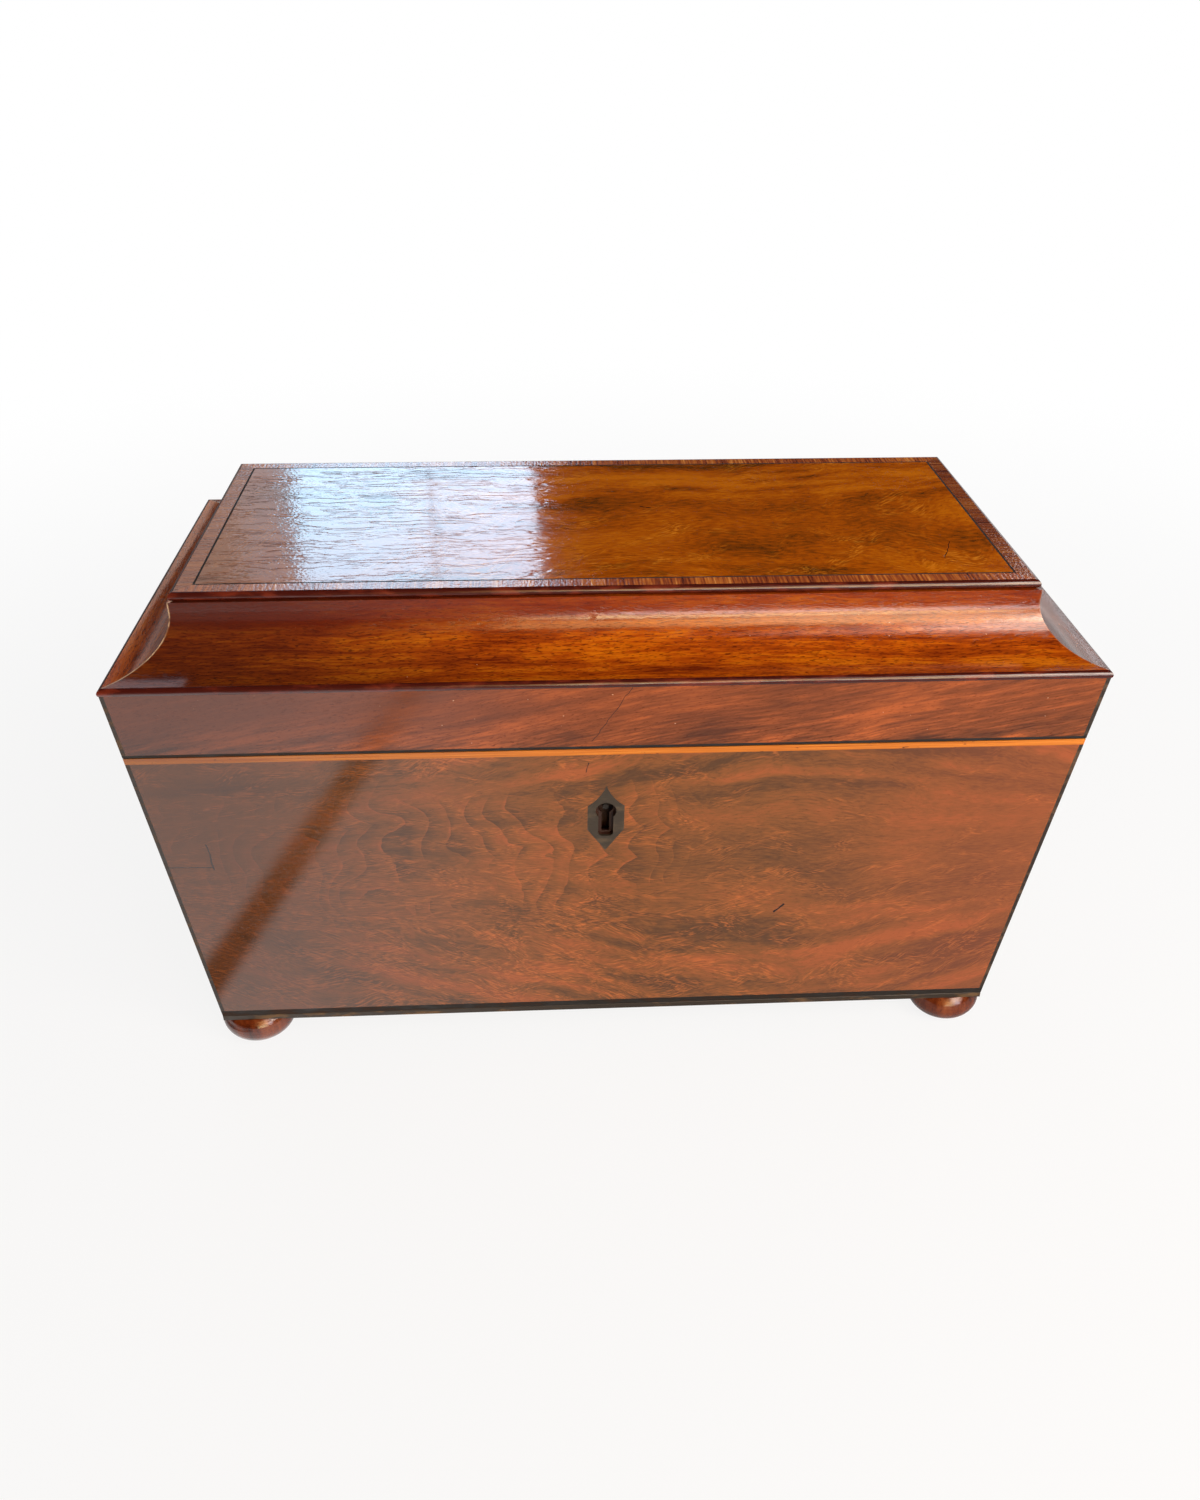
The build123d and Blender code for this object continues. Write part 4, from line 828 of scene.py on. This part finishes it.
def plain_mahogany(name, axes, shades, gloss, seed, dirt=None):
    """Plain board with open pores: its grain runs level around the walls where no axes are given.

    Dirt is the place of a hole in millimetres, with a dark patch about it: a painted shade in the hole.
    """
    material, tree, shader = start_finish(name, gloss, 1.5)
    place = place_on(tree, *axes) if axes else around_walls(tree)
    curled = drift(tree, place, 60.0, 4.0, seed)
    bands = grain(tree, curled, 90.0, 4.0, seed + 1, 3.0)
    fibres = grain(tree, curled, 20.0, 0.5, seed + 2, 2.0)
    total = add(tree, "Math", (fibres, 0.4, bands), operation="MULTIPLY_ADD")
    figure = add(tree, "MapRange", (total, 0.45, 0.95))
    colour = add(tree, "Mix", (figure, *shades), **rgba)
    open_pores = pores(tree, curled, 3.0, 0.4, 0.08, seed + 3)
    colour = fill_pores(tree, open_pores, 0.6, colour, "#26100A")
    if dirt:
        # a painted shade darkens the board close about the hole
        away = add(tree, "VectorMath", (place, dirt), operation="DISTANCE")
        hole_shade = add(tree, "MapRange", (away.outputs["Value"], hole_shade_edge, hole_shade_edge - 3.0, 0.0, 0.8))
        colour = add(tree, "Mix", (hole_shade, colour, "#160A06"), **rgba)
    relief = add(tree, "Bump", {"Height": open_pores, "Distance": 0.1 * mm}, invert=True)
    wear = add(tree, "MapRange", (bands, 0.3, 0.7, 0.85 * gloss, 1.2 * gloss))
    dress_shader(tree, shader, colour, relief, wear)
    return material


planed_browns, polished_browns = ("#5A2814", "#8C4A26"), ("#5E240E", "#96491C")
carcass_long = plain_mahogany("planed_mahogany_long", "XZY", planed_browns, gloss=0.5, seed=311.0)
hole_low, hole_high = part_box("escutcheon")
keyhole = [(hole_low[axis] + hole_high[axis]) / 2 / mm for axis in (0, 2, 1)]
bored_board = plain_mahogany("planed_mahogany_bored", "XZY", planed_browns, gloss=0.5, seed=316.0,
                             dirt=keyhole)
carcass_short = plain_mahogany("planed_mahogany_short", "YZX", planed_browns, gloss=0.5, seed=321.0)
canister_wood = plain_mahogany("polished_mahogany", None, polished_browns, gloss=0.25, seed=331.0)
cover_wood = plain_mahogany("cover_mahogany", "YXZ", polished_browns, gloss=0.25, seed=336.0)
# the dark patch about the keyhole is a painted shade
print("inside woods:", carcass_long.name, canister_wood.name, "with dirt", hole_shade_edge, "mm about the keyhole")

# %% [markdown]
# ## Paper and foil
# The floor of the case and the inside of the lid are lined with paper, once crimson and now brown, with a
# soft fibre. The canisters are lined with tea lead, a thin tin and lead foil that was pressed in by hand,
# so it is creased and dull grey. Both patterns are larger than life, because paper fibres and fine creases
# wouldn't show.

# %% Paper and foil
def lining_paper():
    """Matt paper with soft blotches and fibres drawn 0.6 mm wide."""
    material, tree, shader = start_finish("faded_crimson_paper", 0.9, 1.45)
    place = place_on(tree, "X", "Y", "Z")
    blotches = grain(tree, place, 30.0, 22.0, 341.0, 3.0)
    colour = add(tree, "ValToRGB", (blotches,), ((0.3, "#4A1E1C"), (0.55, "#6A2A26"), (0.75, "#7C4238")))
    fibres = grain(tree, place, 1.6, 0.6, 342.0, 3.0)
    relief = add(tree, "Bump", {"Height": fibres, "Distance": 0.1 * mm})
    dress_shader(tree, shader, colour, relief)
    return material


def tea_lead():
    """Dull grey foil with flat creases 6 to 10 mm apart."""
    material, tree, shader = start_finish("tea_lead", 0.4, metallic=1.0)
    place = place_on(tree, "X", "Z", "Y")
    creases = add(tree, "TexVoronoi", {"Vector": drift(tree, place, 9.0, 3.0, 351.0), "Scale": 1 / 8.0},
                  feature="DISTANCE_TO_EDGE")
    dull = grain(tree, place, 8.0, 8.0, 352.0, 3.0)
    colour = add(tree, "ValToRGB", (dull,), ((0.3, "#6A6A6C"), (0.7, "#A6A6A4")))
    relief = add(tree, "Bump", {"Height": creases, "Distance": 0.6 * mm})
    rough = add(tree, "MapRange", (dull, 0.3, 0.7, 0.3, 0.55))
    dress_shader(tree, shader, colour, relief, rough)
    return material


paper = lining_paper()
foil = tea_lead()
print("linings:", paper.name, foil.name)

# %% [markdown]
# ## Brass and steel
# The hinges, the lock and the strike plate are brass, filed and polished once and gone brown where no hand
# reaches. The lock is bright only at its top edge, and behind the keyhole it is painted near black, a
# painted shade for the deep hole, as is the steel drill pin there. Screws, pins and spring are steel with a
# dark skin of age. A metal has its colour in its reflection, so metallic is 1 and the tarnish is dark and
# rough, but where that painted shade lies, metallic falls to 0.1.

# %% Brass and steel
def old_metal(name, clean, tarnish, gloss, low=None, high=None):
    """Metal with tarnish in patches, and all dark and dull below a height in millimetres: a painted shade."""
    material, tree, shader = start_finish(name, gloss, metallic=1.0)
    place = place_on(tree, "X", "Z", "Y")
    pattern = grain(tree, place, 5.0, 3.0, 361.0, 4.0)
    dark = add(tree, "MapRange", (pattern, 0.45, 0.7, 0.0, 0.9))
    if low is not None:
        height = add(tree, "SeparateXYZ", (place,))
        shaded_below = add(tree, "MapRange", (height.outputs[1], high, low))
        dark = add(tree, "Math", (dark, shaded_below), operation="MAXIMUM")
        bare = add(tree, "MapRange", (shaded_below, 0.0, 1.0, 1.0, 0.1))
        tree.links.new(bare.outputs[0], shader.inputs["Metallic"])
    colour = add(tree, "Mix", (dark, clean, tarnish), **rgba)
    rough = add(tree, "MapRange", (dark, 0.0, 1.0, gloss, 0.6))
    scratches = grain(tree, place, 7.0, 0.25, 362.0, 2.0)
    relief = add(tree, "Bump", {"Height": scratches, "Distance": 0.03 * mm})
    dress_shader(tree, shader, colour, relief, rough)
    return material


lock_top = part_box("lock_case")[1][2] / mm
bright_to, shade_from = lock_top - 1.0, lock_top - 3.0
brass = old_metal("old_brass", "#D2A85A", "#6E4A22", gloss=0.25)
# the lock is painted near black low down: a painted shade behind the keyhole
lock_brass = old_metal("lock_brass", "#D2A85A", "#2A120A", gloss=0.25, low=shade_from, high=bright_to)
steel = old_metal("old_steel", "#8C857C", "#3A2A20", gloss=0.35)
# the drill pin is painted near black below the lock's top: a painted shade in the keyhole
keyhole_shaded_steel = old_metal("keyhole_shaded_steel", "#1A0E0A", "#100806", gloss=0.7, low=lock_top, high=lock_top + 1.0)
print("lock is bright down to", round(bright_to, 1), "mm")

# %% [markdown]
# ## Glass and knobs
# The mixing bowl is blown and cut lead glass: clear, with a high index that makes its edges sparkle, and
# slightly uneven. The canisters' knobs are turned bone, cream with brown flecks along its length.

# %% Glass and bone
def lead_glass():
    """Clear glass with slow waves 12 mm apart."""
    material, tree, shader = start_finish("lead_glass", 0.02, 1.56, **{"Transmission Weight": 1.0})
    shader.inputs["Base Color"].default_value = linear("#F8FCFA")
    waves = grain(tree, place_on(tree, "X", "Y", "Z"), 12.0, 12.0, 371.0, 2.0)
    relief = add(tree, "Bump", {"Height": waves, "Distance": 0.2 * mm})
    dress_shader(tree, shader, None, relief)
    return material


def turned_bone():
    """Cream bone with brown flecks 2 mm long."""
    material, tree, shader = start_finish("turned_bone", 0.25, 1.54)
    place = place_on(tree, "Z", "X", "Y")
    flecks = add(tree, "MapRange", (grain(tree, place, 2.0, 0.3, 381.0, 1.0), 0.62, 0.72, 0.0, 0.7))
    clouds = grain(tree, place, 6.0, 4.0, 382.0, 2.0)
    colour = add(tree, "ValToRGB", (clouds,), ((0.3, "#CDB48A"), (0.7, "#E8DABC")))
    colour = add(tree, "Mix", (flecks, colour, "#7A5A38"), **rgba)
    relief = add(tree, "Bump", {"Height": flecks, "Distance": 0.05 * mm}, invert=True)
    dress_shader(tree, shader, colour, relief)
    return material


glass = lead_glass()
bone = turned_bone()
print("small finishes:", glass.name, bone.name)

# %% [markdown]
# ## Dressing the pieces
# The record names a material slot for each piece, which is what the real piece is made of. Most slots have
# one finish. Where the same wood runs in another direction, or has its own colour, the piece is named in a
# second list.

# %% Dress every piece
finishes = {
    "carcass_mahogany": carcass_long, "figured_mahogany": end_flame, "straight_mahogany": cove_long,
    "crossbanding": crossband, "ebonised_wood": ebony_string, "boxwood": boxwood, "turned_mahogany": turned,
    "lining_paper": paper, "brass": brass, "steel": steel, "canister_mahogany": canister_wood,
    "turned_knob": bone, "lead_foil": foil, "clear_glass": glass,
}
own_finishes = {
    "front_veneer": front_flame, "back_veneer": back_flame, "top_veneer": top_flame,
    "lid_front_veneer": rim_front, "lid_back_veneer": rim_long, "lid_end_veneers": rim_short,
    "front_cove": cove_front, "left_cove": cove_left, "right_cove": cove_right,
    "lower_bead": ebony_bead, "upper_bead": ebony_bead, "base_plate": ebony_plate,
    "corner_stringing": corner_string, "lid_corner_stringing": corner_string, "escutcheon": ebony_shield,
    "lock_case": lock_brass, "lock_cover_plate": lock_brass, "drill_pin": keyhole_shaded_steel,
    "left_cover": cover_wood, "right_cover": cover_wood, "front_board": bored_board,
    "left_board": carcass_short, "right_board": carcass_short, "partitions": carcass_short,
    "lid_left_rail": carcass_short, "lid_right_rail": carcass_short,
}
for part in frame["record"]["subparts"]:
    piece = nodes[part["node"]]
    piece.data.materials.clear()
    piece.data.materials.append(own_finishes.get(part["node"], finishes[part["material_slot"]]))
